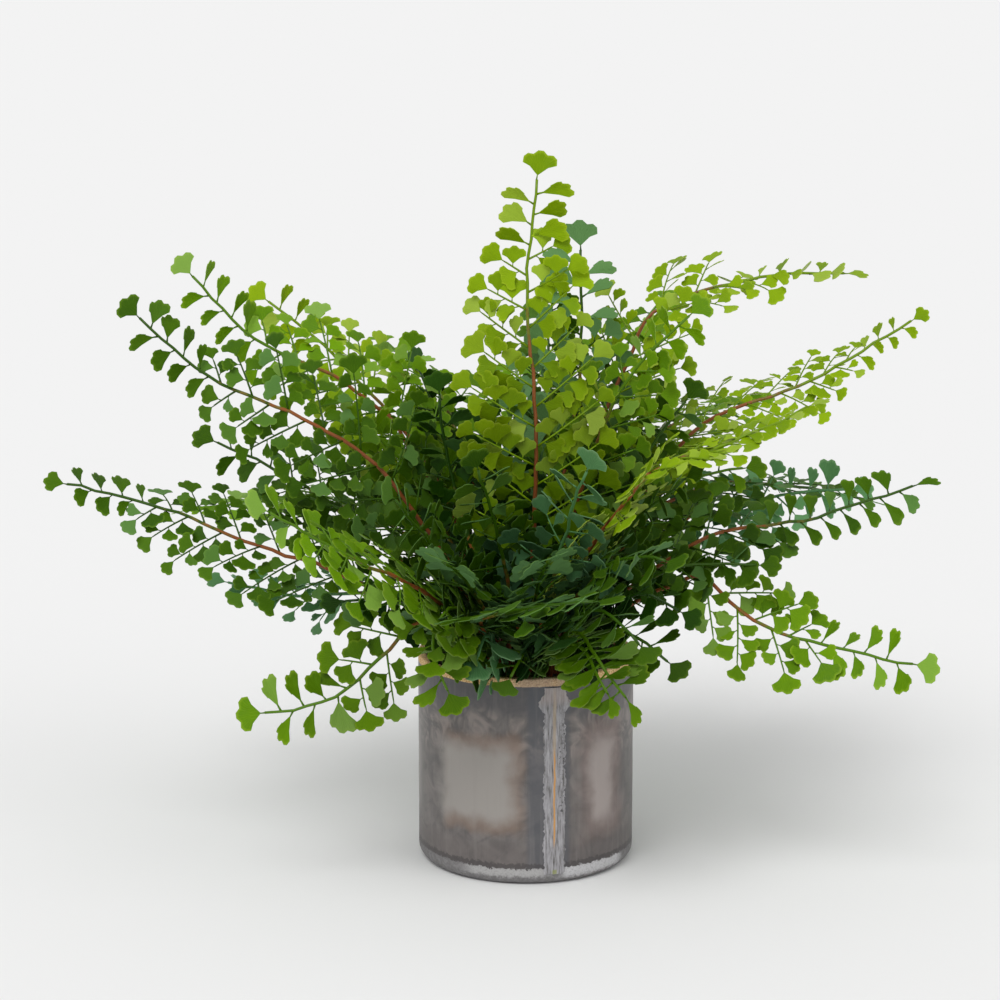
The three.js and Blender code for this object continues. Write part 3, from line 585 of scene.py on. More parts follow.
def pot_material():
    """Fired clay with a metal-effect coat rubbed on, in cloudy satin greys with two paler panels that each
    have a brown halo. The rim is bare tan clay, and the coat is worn off the foot.
    """
    made, add = new_material("clay_with_metal_effect_coat")
    turned, round_it, up_it, round_soft, up_soft = pot_places(add, 15.0)
    away = add("ShaderNodeMath", {0: round_it}, operation="ABSOLUTE")
    height = bpy.context.scene.fern_pot.height / MM
    cloud = add("ShaderNodeTexNoise", {"Vector": turned, "Scale": 1 / 24, "Detail": 6.0, "Distortion": 1.6})
    swirl = add("ShaderNodeTexNoise", {"Vector": turned, "Scale": 1 / 15, "Detail": 5.0, "Distortion": 2.5})
    grain = add("ShaderNodeTexNoise", {"Vector": turned, "Scale": 1 / 0.9, "Detail": 4.0, "Roughness": 0.7})
    ragged = add("ShaderNodeTexNoise", {
        "Vector": turned, "Scale": 1 / 2.5, "Detail": 5.0, "Roughness": 0.75,
    })
    streaked = add("ShaderNodeMapping", {"Vector": turned, "Scale": (1 / 3, 1 / 3, 1 / 40)})
    streak = add("ShaderNodeTexNoise", {"Vector": streaked, "Scale": 1.0, "Detail": 3.0})
    lined = add("ShaderNodeMapRange", {0: streak, 1: 0.5, 2: 0.7})
    murk = add("ShaderNodeMapRange", {0: swirl, 1: 0.5, 2: 0.34})
    pink = add("ShaderNodeMapRange", {0: swirl, 1: 0.48, 2: 0.66})
    pinkish = add("ShaderNodeMath", {0: patch(add, (up_soft, 70, 104, 6)), 1: pink}, operation="MULTIPLY")
    under_rim = patch(add, (up_soft, 97, 130, 5))
    over_foot = patch(add, (up_soft, 4, 24, 5))
    left_halo = patch(add, (round_soft, -66, -17, 4), (up_soft, 30, 84, 4))
    right_halo = patch(add, (round_soft, 17, 46, 6), (up_soft, 24, 90, 6))
    left_panel = patch(add, (round_soft, -69, -22, 6.5), (up_soft, 36, 78, 6))
    right_panel = patch(add, (round_soft, 23, 39, 5), (up_soft, 33, 80, 8))
    back_panel = patch(add, (away, 96, 150, 12), (up_soft, 34, 80, 8))
    beside_seam = patch(add, (round_it, -15, 8.5, 2))
    coat = add("ShaderNodeValToRGB", {0: cloud}, stops=(
        (0.30, linear("#565250")), (0.50, linear("#6b6664")), (0.70, linear("#7f7976")),
    ))
    coat = layered(add, coat, (
        (murk, 0.45, "#4e4c4d"), (pinkish, 0.8, "#8f8580"),
        (under_rim, 0.75, "#4c4c50"), (over_foot, 0.5, "#57504f"),
        (left_halo, 0.65, "#80695a"), (right_halo, 0.55, "#7d6a64"),
        (left_panel, 0.97, "#9a9590"), (right_panel, 0.9, "#a49a96"), (back_panel, 0.8, "#96918c"),
        (beside_seam, 0.6, "#50535a"), (lined, 0.18, "#8d8884"),
    ))
    worn_edge = add("ShaderNodeMath", {0: ragged, 1: 7.0, 2: up_it}, operation="MULTIPLY_ADD")
    pale_left = patch(add, (worn_edge, 8.5, 40, 1.2), (round_soft, -50, -4, 7))
    pale_right = patch(add, (worn_edge, 7.0, 40, 1.2), (round_soft, 4, 46, 5))
    foot_coat = layered(add, linear("#737171"), (
        (add("ShaderNodeMapRange", {0: ragged, 1: 0.42, 2: 0.6}), 0.6, "#929091"),
        (pale_left, 0.6, "#c2c1c0"), (pale_right, 0.85, "#cbcacc"),
        (add("ShaderNodeMapRange", {0: grain, 1: 0.5, 2: 0.35}), 0.5, "#777475"),
    ))
    dark_line = patch(add, (worn_edge, 0, 16.2, 0.5))
    coat = layered(add, coat, ((dark_line, 0.65, "#3d393a"),))
    worn = patch(add, (worn_edge, -20, 13.2, 0.4))
    coat = add("ShaderNodeMix", {0: worn, 6: coat, 7: foot_coat}, out=2, data_type="RGBA")
    smeared = patch(add, (away, -1, 22, 5))
    clay = layered(add, linear("#e0b87e"), (
        (add("ShaderNodeMapRange", {0: grain, 1: 0.52, 2: 0.62}), 0.9, "#855a30"),
        (add("ShaderNodeMapRange", {0: grain, 1: 0.47, 2: 0.38}), 0.9, "#f2dcb0"),
        (smeared, 0.6, "#a8958c"),
    ))
    rim_edge = add("ShaderNodeMath", {0: ragged, 1: 1.2, 2: up_it}, operation="MULTIPLY_ADD")
    bare = patch(add, (rim_edge, height - 4.0, height + 40, 0.25))
    colour = add("ShaderNodeMix", {0: bare, 6: coat, 7: clay}, out=2, data_type="RGBA")
    matt = add("ShaderNodeMath", {0: bare, 1: worn}, operation="MAXIMUM")
    satin = add("ShaderNodeMapRange", {0: cloud, 1: 0.3, 2: 0.7, 3: 0.36, 4: 0.52})
    rough = add("ShaderNodeMix", {0: matt, 2: satin, 3: 0.85}, data_type="FLOAT")
    depth = add("ShaderNodeMix", {0: matt, 2: 0.12, 3: 1.0}, data_type="FLOAT")
    relief = add("ShaderNodeMath", {0: grain, 1: depth}, operation="MULTIPLY")
    bump = add("ShaderNodeBump", {"Strength": 0.6, "Distance": 0.5 * MM, "Height": relief})
    finish_material(add, colour, rough, bump, Specular_IOR_Level=0.45)
    return made


def seam_material():
    """The same coat dragged over a raised seam of raw clay: pale ragged streaks, with a tan line down the
    middle and dark pits at its right.
    """
    made, add = new_material("clay_seam_dragged_coat")
    turned, round_it, up_it, _, _ = pot_places(add, 0.0)
    dragged = add("ShaderNodeMapping", {"Vector": turned, "Scale": (1.0, 1.0, 1 / 9)})
    streak = add("ShaderNodeTexNoise", {
        "Vector": dragged, "Scale": 1 / 1.1, "Detail": 4.0, "Roughness": 0.65,
    })
    chip = add("ShaderNodeTexNoise", {"Vector": turned, "Scale": 1 / 1.6, "Detail": 4.0, "Roughness": 0.7})
    slow = add("ShaderNodeMapping", {"Vector": turned, "Scale": (0.1, 0.1, 1 / 14)})
    bend = add("ShaderNodeTexNoise", {"Vector": slow, "Scale": 1.0, "Detail": 3.0})
    middle = add("ShaderNodeMath", {0: bend, 1: 1.6, 2: round_it}, operation="MULTIPLY_ADD")
    upper_line = patch(add, (middle, -0.4, 1.3, 0.5), (up_it, 74, 112, 4))
    lower_line = patch(add, (middle, 0.1, 1.0, 0.35), (up_it, 24, 76, 4))
    pitted = add("ShaderNodeMapRange", {0: chip, 1: 0.56, 2: 0.62})
    right_side = patch(add, (round_it, 2.2, 6.0, 0.4), (up_it, 40, 98, 4))
    pits = add("ShaderNodeMath", {0: pitted, 1: right_side}, operation="MULTIPLY")
    foot_spot = patch(add, (round_it, -1.2, 1.2, 0.3), (up_it, 6.5, 9.0, 0.5))
    top_end = patch(add, (up_it, 104, 130, 3))
    colour = add("ShaderNodeValToRGB", {0: streak}, stops=(
        (0.30, linear("#55534f")), (0.45, linear("#8b898b")),
        (0.60, linear("#a3a1a5")), (0.75, linear("#bdbabb")),
    ))
    colour = layered(add, colour, (
        (upper_line, 0.55, "#b59f7f"), (lower_line, 0.95, "#cc9550"), (pits, 0.95, "#353334"),
        (foot_spot, 0.8, "#8c9157"), (top_end, 0.5, "#b4a6a2"),
    ))
    bump = add("ShaderNodeBump", {"Strength": 0.8, "Distance": 0.6 * MM, "Height": streak})
    finish_material(add, colour, 0.7, bump, Specular_IOR_Level=0.4)
    return made


def to_mesh(name, whole):
    """A mesh made of a bmesh, which it frees."""
    mesh = bpy.data.meshes.new(name)
    whole.to_mesh(mesh)
    whole.free()
    return mesh


def add_object(name, data):
    """An object of the scene that holds a mesh, a lamp or a camera."""
    made = bpy.data.objects.new(name, data)
    bpy.context.collection.objects.link(made)
    return made


def add_copy(whole, template, matrix, **values):
    """Adds a copy of a mesh to a bmesh, in its place and with its own values of its point attributes."""
    copy = template.copy()
    for name, value in values.items():
        copy.attributes[name].data.foreach_set("value", [value] * len(copy.vertices))
    copy.transform(matrix)
    whole.from_mesh(copy)
    bpy.data.meshes.remove(copy)


def finish_piece(name, whole, materials, node=None):
    """Makes a bmesh a piece of the fern, which stands for a node of the solids where one is named."""
    piece = add_object(name, to_mesh(name, whole))
    for one in materials:
        piece.data.materials.append(one)
    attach(piece, BODY)
    if node:
        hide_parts(node)


def smooth(whole, crease):
    """Shades faces smooth, with edges sharp where they turn by more than the crease angle in degrees."""
    whole.normal_update()
    for face in whole.faces:
        face.smooth = True
    for edge in whole.edges:
        edge.smooth = edge.is_manifold and edge.calc_face_angle(math.pi) < math.radians(crease)


def everything(whole):
    """All the points, edges and faces of a bmesh."""
    return whole.verts[:] + whole.edges[:] + whole.faces[:]


def roughness(place, waves):
    """Height of a rough surface at a place, from pairs of wave length and depth."""
    return sum(depth * noise.noise(place / wave) for wave, depth in waves)


def turned_solid(profile, sides):
    """A solid turned from a profile in mm, which starts and ends on the axis."""
    whole = bmesh.new()
    corners = [whole.verts.new((r * MM, 0, z * MM)) for r, z in profile]
    edges = [whole.edges.new(pair) for pair in zip(corners, corners[1:])]
    bmesh.ops.spin(whole, geom=corners + edges, cent=(0, 0, 0), axis=(0, 0, 1), angle=2 * math.pi,
                   steps=sides, use_merge=True)
    bmesh.ops.remove_doubles(whole, verts=whole.verts[:], dist=TINY)
    bmesh.ops.recalc_face_normals(whole, faces=whole.faces[:])
    return whole


def arc(centre_r, centre_z, radius, start, end, steps):
    """Points of a profile on an arc, angles in degrees from outwards to upwards."""
    angles = [math.radians(lerp(start, end, n / steps)) for n in range(steps + 1)]
    return [(centre_r + radius * math.cos(a), centre_z + radius * math.sin(a)) for a in angles]


def make_pot(settings):
    """The pot's wall and floor, with the slight unevenness of thrown clay and a chipped rim."""
    radius, height = settings.radius / MM, settings.height / MM
    inner, rim = radius - POT_WALL, height - RIM_ROUND
    profile = [(0, 0), *arc(radius - FOOT_RADIUS, FOOT_RADIUS, FOOT_RADIUS, -90, 0, FOOT_STEPS)]
    profile += [(radius, lerp(FOOT_RADIUS, rim, n / WALL_STEPS)) for n in range(1, WALL_STEPS)]
    profile += arc(radius - RIM_ROUND, rim, RIM_ROUND, 0, 90, RIM_STEPS)
    profile += [(radius - POT_WALL / 2, height)]
    profile += arc(inner + RIM_ROUND, rim, RIM_ROUND, 90, 180, RIM_STEPS)
    profile += [(inner, height - down) for down in INNER_RINGS]
    profile += [(inner, POT_FLOOR + POT_CORNER), (inner - POT_CORNER, POT_FLOOR), (0, POT_FLOOR)]
    whole = turned_solid(profile, POT_SIDES)
    for vert in whole.verts:
        place = vert.co / MM
        if place.z < WALL_SMOOTH or place.xy.length < inner - WALL_SMOOTH:
            continue
        vert.co.xy *= 1 + roughness(place, WALL_WAVES) / radius
        if place.z > height - CHIPS_DOWN:
            vert.co.z -= MM * CHIP_DEPTH * max(0, noise.noise(place / CHIP_LENGTH) + CHIP_MORE)
    smooth(whole, crease=50)
    finish_piece("pot_wall", whole, [pot_material()], "pot")


def make_seam(settings):
    """The rough raised seam down the pot, as a thin slab let into its wall."""
    radius, half = settings.radius / MM, settings.seam_width / MM / 2
    # A slab of length and width 1 is bent round the pot.
    whole = bmesh.new()
    slab = 0.1
    bmesh.ops.create_grid(whole, x_segments=SEAM_CELLS[0], y_segments=SEAM_CELLS[1], size=0.5)
    bmesh.ops.solidify(whole, geom=everything(whole), thickness=slab)
    for vert in whole.verts:
        across, up = 2 * vert.co.x, vert.co.y + 0.5
        z = lerp(SEAM_LOW, SEAM_HIGH, up)
        wide = half + SEAM_FLARE * math.exp(-((z - SEAM_FLARE_UP) / SEAM_FLARE_LENGTH) ** 2)
        edge = math.copysign(EDGES_APART, across)
        for plane, wave, depth in SEAM_EDGES:
            wide += depth * noise.noise(Vector((edge, plane, z / wave)))
        sideways = across * wide
        proud = -SEAM_SINK
        if vert.co.z > -slab / 2:
            proud = SEAM_PROUD * (1 - abs(across) ** SEAM_SQUARE)
            for plane, wave, wave_up, depth in SEAM_FACE:
                proud += depth * noise.noise(Vector((sideways / wave, plane, z / wave_up)))
        angle = math.radians(SEAM_AZIMUTH) + sideways / radius
        out = (radius + proud) * MM
        vert.co = Vector((out * math.cos(angle), out * math.sin(angle), z * MM))
    smooth(whole, crease=60)
    finish_piece("pot_seam", whole, [seam_material()])


def add_crumbs(whole, radius, height):
    """Crumbs of potting mix, strewn over its top."""
    crumb = bmesh.new()
    bmesh.ops.create_icosphere(crumb, subdivisions=1, radius=1)
    template = to_mesh("crumb", crumb)
    draw = Draw(CRUMB_SEED)
    for _ in range(CRUMBS):
        angle = draw.between(0, 2 * math.pi)
        out = math.sqrt(draw.between(0, 1)) * radius
        size = draw.between(*CRUMB_RADII) * MM
        # Each crumb is turned about an axis of its own.
        axis = (math.cos(angle * 3), math.sin(angle * 5), 0.6)
        turn = Matrix.Rotation(draw.between(0, math.pi), 4, axis)
        width = size * draw.between(*CRUMB_WIDTH)
        squash = Matrix.Diagonal((size, width, size * draw.between(*CRUMB_HEIGHT), 1))
        place = Vector((out * math.cos(angle), out * math.sin(angle), height)) * MM
        add_copy(whole, template, Matrix.Translation(place) @ turn @ squash)
    bpy.data.meshes.remove(template)


def make_soil(settings):
    """Potting mix that fills the pot, crumbly on top."""
    radius = bpy.context.scene.fern_pot.radius / MM - POT_WALL - SOIL_GAP
    bottom, top = POT_FLOOR + SOIL_GAP, settings.top / MM
    flat = radius - SOIL_SLOPE
    profile = [(0, bottom), (radius - POT_CORNER, bottom), (radius, bottom + POT_CORNER)]
    for n in range(SLOPE_STEPS + 1):
        down = 1 - n / SLOPE_STEPS
        profile.append((flat + SOIL_SLOPE * down, top - SOIL_DROP * down))
    profile += [(flat * (1 - n / SOIL_RINGS), top) for n in range(1, SOIL_RINGS + 1)]
    whole = turned_solid(profile, SOIL_SIDES)
    for vert in whole.verts:
        place = vert.co / MM
        if place.z > (bottom + top) / 2:
            vert.co.z -= MM * (SOIL_DIP + roughness(place, SOIL_WAVES))
    add_crumbs(whole, radius - CRUMB_EDGE, top - CRUMB_SUNK)
    smooth(whole, crease=40)
    finish_piece("potting_mix", whole, [soil_material()], "soil")


def square_part(vector, along):
    """The part of a vector that is square to a direction."""
    return vector - vector.dot(along) * along


class Stem:
    """The centre line of a frond: it leaves the soil upright and passes each of its points."""

    def __init__(self, root, path):
        self.points = [root, *path]
        self.knots = [0.0]
        for before, after in zip(self.points, self.points[1:]):
            self.knots.append(self.knots[-1] + (after - before).length)
        last = len(self.points) - 1
        self.slopes = [Vector((0, 0, STEM_RISE))]
        self.slopes += [self.chord(i - 1, i + 1) for i in range(1, last)]
        # At its tip the line is straight.
        self.slopes.append(1.5 * self.chord(last - 1, last) - 0.5 * self.slopes[-1])
        places = [self.point(n / STEM_DIVISIONS) for n in range(STEM_DIVISIONS + 1)]
        self.reach = [0.0]
        for before, after in zip(places, places[1:]):
            self.reach.append(self.reach[-1] + (after - before).length)
        self.length = self.reach[-1]

    def chord(self, i, j):
        """The mean slope of the line between two of its points."""
        return (self.points[j] - self.points[i]) / (self.knots[j] - self.knots[i])

    def point(self, t):
        """The place at a parameter from 0 at the soil to 1 at the tip."""
        x = t * self.knots[-1]
        i = min(max(bisect_right(self.knots, x) - 1, 0), len(self.knots) - 2)
        h = self.knots[i + 1] - self.knots[i]
        k = (x - self.knots[i]) / h
        start = 2 * k ** 3 - 3 * k ** 2 + 1
        start_slope = k ** 3 - 2 * k ** 2 + k
        end = 3 * k ** 2 - 2 * k ** 3
        end_slope = k ** 3 - k ** 2
        return (self.points[i] * start + self.slopes[i] * h * start_slope
                + self.points[i + 1] * end + self.slopes[i + 1] * h * end_slope)

    def parameter(self, u):
        """The parameter at a share of the length."""
        reach = u * self.length
        i = min(max(bisect_right(self.reach, reach) - 1, 0), STEM_DIVISIONS - 1)
        step = self.reach[i + 1] - self.reach[i]
        return (i + (reach - self.reach[i]) / step) / STEM_DIVISIONS

    def direction(self, u):
        """The direction toward the tip at a share of the length."""
        t = self.parameter(u)
        return (self.point(min(t + STEM_NEAR, 1)) - self.point(max(t - STEM_NEAR, 0))).normalized()


def find_roots(settings):
    """Each root is on the side that its frond leans to, and roots that are too close are pushed apart."""
    roots = []
    for plan in FRONDS:
        x, y, z = plan.path[0]
        out = math.hypot(x, y)
        flat = min(1, (out / (out + z - settings.top / MM)) ** ROOT_CURVE)
        roots.append(Vector((x, y)) * ((ROOT_INNER + ROOT_SPREAD * flat) / out))
    for _ in range(ROOT_ROUNDS):
        moved = False
        for one, other in combinations(roots, 2):
            apart = one - other
            distance = apart.length
            if distance < ROOTS_APART - TINY:
                push = apart * ((ROOTS_APART - distance) / 2 / max(distance, TINY))
                one += push
                other -= push
                moved = True
        for root in roots:
            if root.length > ROOT_REACH:
                root *= ROOT_REACH / root.length
        if not moved:
            break
    return roots


class Shoot(NamedTuple):
    """A shoot or a single leaflet: how far up the stem, on which side, its leaflets, angles and droop."""

    up: float
    side: int
    leaflets: int
    fan: float
    lift: float
    droop: float


class Rib:
    """The rib of a shoot, which droops a little toward its tip."""

    def __init__(self, start, ray, wide, top, length, droop):
        self.start, self.ray, self.wide, self.top = start, ray, wide, top
        self.length, self.droop = length, droop

    def frame_at(self, x):
        """Place, direction and normal at a distance from the stem."""
        at = self.start + self.ray * x - self.top * (self.droop * x * x / self.length)
        along = (self.ray - self.top * (2 * self.droop * x / self.length)).normalized()
        return at, along, along.cross(self.wide).normalized()

    def rings(self):
        """Rings of the rib, thinner toward its tip."""
        rings = []
        for n in range(RIB_RINGS + 1):
            at, along, normal = self.frame_at(self.length * n / RIB_RINGS)
            rings.append((at, self.wide, normal, along, lerp(*RIB_RADII, n / RIB_RINGS), 0))
        return rings


class Frond:
    """A frond's stem, the way that its blade faces all along it, and its shoots from the tip down."""

    def __init__(self, number, plan, root, ground):
        self.plan = plan
        self.plane = NOISE_STEP * number
        self.stem = Stem(Vector((root.x, root.y, ground)), [Vector(point) for point in plan.path])
        self.length = self.stem.length
        self.normals = self.find_normals(Vector(plan.face), Vector(plan.face_tip or plan.face))
        self.shoots = self.find_shoots(Draw(SHOOT_SEED + SHOOT_SEED_STEP * number))
        self.draw = Draw(LEAF_SEED + LEAF_SEED_STEP * number)

    def find_normals(self, face, face_tip):
        """Normals of the blade, worked down from its tip, each turned a little toward the face."""
        face, face_tip = face.normalized(), face_tip.normalized()
        normals = []
        for i in range(FRAME_STEPS, -1, -1):
            u = i / FRAME_STEPS
            along = self.stem.direction(u)
            target = square_part(face.lerp(face_tip, u), along)
            normal = normals[0].copy() if normals else target.copy()
            if normal.dot(target) > 0:
                normal += target * FRAME_TURN
            normals.insert(0, square_part(normal, along).normalized())
        return normals

    def find_shoots(self, draw):
        """Shoots by turns on the two sides of the stem, those near the tip as single leaflets."""
        side = 1 if draw.between(0, 1) < 0.5 else -1
        down = FIRST_SHOOT * self.plan.size
        shoots = []
        while down < self.length - self.plan.bare:
            past = len(shoots) - self.plan.singles
            fan = math.radians(draw.between(*SHOOT_FAN))
            lift = math.radians(draw.between(*SHOOT_LIFT))
            leaflets = 1 if past < 0 else LEAFLETS[min(past, len(LEAFLETS) - 1)]
            shoots.append(Shoot(self.length - down, side, leaflets, fan, lift, draw.between(*SHOOT_DROOP)))
            down += SPACING[clamp(past + USUAL_SINGLES, 0, len(SPACING) - 1)] * self.plan.size
            side = -side
        return shoots

    def frame_at(self, s):
        """Place, direction, side and normal at a distance up the stem; below the soil it is upright."""
        u = clamp(s / self.length)
        at = self.stem.point(self.stem.parameter(u))
        at.z += min(s, 0)
        along = self.stem.direction(u)
        i = min(int(u * FRAME_STEPS), FRAME_STEPS - 1)
        normal = self.normals[i].lerp(self.normals[i + 1], u * FRAME_STEPS - i)
        normal = square_part(normal, along).normalized()
        across = along.cross(normal)
        bends = [noise.noise(Vector((s / STEM_WAVE, self.plane, layer))) for layer in (0, 5)]
        at += (across * bends[0] + normal * bends[1]) * STEM_WANDER * clamp(s / STEM_STIFF)
        return at, along, across, normal

    def stem_rings(self, settings):
        """Rings of the stem, thinner toward its tip, from its end in the soil."""
        count = max(FEWEST_RINGS, round(self.length / RING_STEP))
        rings = []
        for s in [-STEM_SUNK, *(self.length * n / count for n in range(count + 1))]:
            at, along, side, normal = self.frame_at(s)
            share = clamp(s / self.length)
            radius = lerp(settings.stem_radius, settings.tip_radius, share) / MM
            rings.append((at, side, normal, along, radius, (self.length - s) / WOODY))
        return rings

    def shoot_frame(self, shoot):
        """Start, ray, across and normal of a shoot."""
        at, along, across, normal = self.frame_at(shoot.up)
        lift = shoot.lift * self.plan.loose
        fan = shoot.fan
        if shoot.leaflets == 1:
            fan += math.radians(self.plan.style.fan)
        out = math.cos(fan) * along + shoot.side * math.sin(fan) * across
        wide = normal.cross(out)
        ray = math.cos(lift) * out + math.sin(lift) * normal
        return at, ray, wide, ray.cross(wide).normalized()

    def parts(self, settings):
        """The rings of the stem and of each rib, and the place of each leaflet."""
        style = self.plan.style
        tubes = [(self.stem_rings(settings), STEM_SIDES, 1)]
        at, along, _, normal = self.frame_at(self.length)
        leaves = [self.leaf(at, along, normal.cross(along), normal, TIP_LEAF, 0, 0, 1, style.tip)]
        for shoot in self.shoots:
            start, ray, wide, top = self.shoot_frame(shoot)
            if shoot.leaflets == 1:
                twist = shoot.side * self.draw.between(*SINGLE_TWIST)
                pitch = self.draw.between(*SINGLE_PITCH)
                leaves.append(self.leaf(start + ray * SINGLE_CLEAR, ray, wide, top, SINGLE_LEAF, twist,
                                        pitch, shoot.side, style.singles))
                continue
            pairs = (shoot.leaflets - 1) // 2
            length = (RIB_BASE + RIB_STEP * pairs) * self.plan.size
            rib = Rib(start, ray, wide, top, length, shoot.droop)
            tubes.append((rib.rings(), RIB_SIDES, 0))
            leaves += self.rib_leaves(rib, pairs, shoot.side)
        return tubes, leaves

    def rib_leaves(self, rib, pairs, side):
        """The leaflet at a rib's tip, and those by turns on its two sides from the tip down."""
        at, along, normal = rib.frame_at(rib.length)
        twist = self.draw.between(*END_TWIST)
        pitch = self.draw.between(*END_PITCH)
        leaves = [self.leaf(at, along, rib.wide, normal, END_LEAF, twist, pitch, side, END_OUTLINES)]
        hand = side
        for j in range(2 * pairs):
            down = (RIB_FIRST + RIB_PITCH * j) * self.plan.size
            at, along, normal = rib.frame_at(max(rib.length - down, RIB_CLEAR))
            angle = math.radians(self.draw.between(*RIB_FAN))
            out = math.cos(angle) * along + math.sin(angle) * hand * rib.wide
            twist = hand * self.draw.between(*SIDE_TWIST)
            pitch = self.draw.between(*SIDE_PITCH)
            leaves.append(self.leaf(at, out, normal.cross(out), normal, SIDE_LEAF, twist, pitch, -hand,
                                    SIDE_OUTLINES))
            hand = -hand
        return leaves

    def leaf(self, at, out, across, normal, length, twist, pitch, hand, outlines):
        """A leaflet's outline, its matrix, its tone and its painted shade, greater near the plant's crown.
        """
        plan = self.plan
        frame = Matrix((out, across, normal)).transposed()
        twist, pitch = math.radians(twist * plan.loose), math.radians(pitch * plan.loose)
        turn = Matrix.Rotation(twist, 3, "X") @ Matrix.Rotation(-pitch, 3, "Y")
        size = length * plan.size * plan.big * self.draw.between(*LEAF_SIZES)
        matrix = (frame @ turn * size * MM).to_4x4()
        matrix.translation = at * MM
        # Painted shade: leaflets darken toward the plant's crown, as much as the frond's shaded says.
        age = plan.shaded * clamp(1 - (at - CROWN).length / CROWN_REACH)
        return (self.draw.pick(outlines), hand), matrix, self.draw.between(0, 1), age


def leaf_template(hand, spread, lobes, notch, rounding, lean, arch, cup, ruffle):
    """A fan-shaped leaflet of length 1 on its thin stalk, from the origin along +X, with its top upwards.

    Its edge toward the shoot's tip is the one on the side of hand, +1 or -1, along Y.
    """
    whole = bmesh.new()
    around = whole.verts.layers.float.new("around")
    outward = whole.verts.layers.float.new("outward")
    spread = math.radians(spread)
    x, y = math.cos(-spread / 2), math.sin(-spread / 2)
    corners = [whole.verts.new((r * x, r * y, 0)) for r in (0, LEAF_RING, 1)]
    edges = [whole.edges.new(pair) for pair in zip(corners, corners[1:])]
    bmesh.ops.spin(whole, geom=corners + edges, cent=(0, 0, 0), axis=(0, 0, 1), angle=spread,
                   steps=LEAF_STEPS, use_merge=False)
    bmesh.ops.remove_doubles(whole, verts=whole.verts[:], dist=10 * TINY)
    for vert in whole.verts:
        r = vert.co.length
        t = clamp(math.atan2(vert.co.y, vert.co.x) / spread + 0.5)
        vert[around], vert[outward] = t, r
        lobe = abs(math.sin(math.pi * lobes * t))
        limb = 1 - notch * (1 - lobe) - rounding * abs(2 * t - 1) ** 3
        limb -= lean * (t if hand > 0 else 1 - t) ** 1.5
        angle = spread * (t - 0.5) * (1 - LEAF_FLARE * (1 - r))
        r *= 1 + (limb - 1) * r
        vert.co.x = STALK + (1 - STALK) * r * math.cos(angle)
        vert.co.y = (1 - STALK) * r * math.sin(angle)
        vert.co.z = cup * (2 * t - 1) ** 2 * r - arch * r * r + ruffle * lobe * r * r
    bmesh.ops.solidify(whole, geom=everything(whole), thickness=LEAF_THICKNESS)
    whole.normal_update()
    under = whole.verts.layers.float.new("under")
    for face in whole.faces:
        for vert in face.verts:
            if face.normal.z < -0.5:
                vert[under] = 1
    smooth(whole, crease=60)
    blade = set(whole.faces)
    length = STALK + STALK_UNDER
    lying = Matrix.Translation((length / 2, 0, -LEAF_THICKNESS / 2)) @ Matrix.Rotation(math.pi / 2, 4, "Y")
    bmesh.ops.create_cone(whole, cap_ends=True, segments=STALK_SIDES, depth=length, matrix=lying,
                          radius1=STALK_RADII[0], radius2=STALK_RADII[1])
    uv = whole.loops.layers.uv.new("leaf")
    for face in whole.faces:
        face.smooth = True
        if face not in blade:
            face.material_index = 1
        for loop in face.loops:
            loop[uv].uv = (loop.vert[around], loop.vert[outward])
    for layer in ("around", "outward"):
        whole.verts.layers.float.remove(whole.verts.layers.float[layer])
    for name in ("tone", "age"):
        whole.verts.layers.float.new(name)
    return to_mesh("leaflet", whole)


def tube_template(rings, sides, woody):
    """A stem or rib through rings of place, side, normal, direction, radius and age."""
    whole = bmesh.new()
    whole.loops.layers.uv.new("leaf")
    layers = [whole.verts.layers.float.new(name) for name in ("under", "tone", "age")]
    made = bmesh.ops.create_circle(whole, cap_ends=True, segments=sides, radius=1)["verts"]
    edges = whole.edges[:]
    last = Matrix.Identity(4)
    for number, (at, side, normal, along, radius, age) in enumerate(rings):
        matrix = (Matrix((side, normal, along)).transposed() * radius * MM).to_4x4()
        matrix.translation = at * MM
        if number:
            grown = bmesh.ops.extrude_edge_only(whole, edges=edges)["geom"]
            made = [one for one in grown if isinstance(one, bmesh.types.BMVert)]
            edges = [one for one in grown if isinstance(one, bmesh.types.BMEdge)
                     and all(vert in made for vert in one.verts)]
        bmesh.ops.transform(whole, matrix=matrix @ last.inverted(), verts=made)
        for vert in made:
            vert[layers[0]], vert[layers[2]] = woody, age
        last = matrix
    bmesh.ops.holes_fill(whole, edges=edges, sides=sides)
    bmesh.ops.recalc_face_normals(whole, faces=whole.faces[:])
    for face in whole.faces:
        face.smooth = True
        face.material_index = 1
    return to_mesh("tube", whole)


def make_frond(frond, templates, materials, settings):
    """One frond with its stem, its ribs and all its leaflets."""
    whole = bmesh.new()
    tubes, leaves = frond.parts(settings)
    for rings, sides, woody in tubes:
        template = tube_template(rings, sides, woody)
        whole.from_mesh(template)
        bpy.data.meshes.remove(template)
    for outline, matrix, tone, age in leaves:
        add_copy(whole, templates[outline], matrix, tone=tone, age=age)
    plan = frond.plan
    finish_piece(f"{plan.name}_in_leaf", whole, materials, f"frond_{plan.name}")


def make_floor():
    """The plain pale floor of the stage."""
    whole = bmesh.new()
    bmesh.ops.create_grid(whole, x_segments=1, y_segments=1, size=FLOOR_REACH)
    floor = add_object("floor", to_mesh("floor", whole))
    floor.data.materials.append(floor_material())


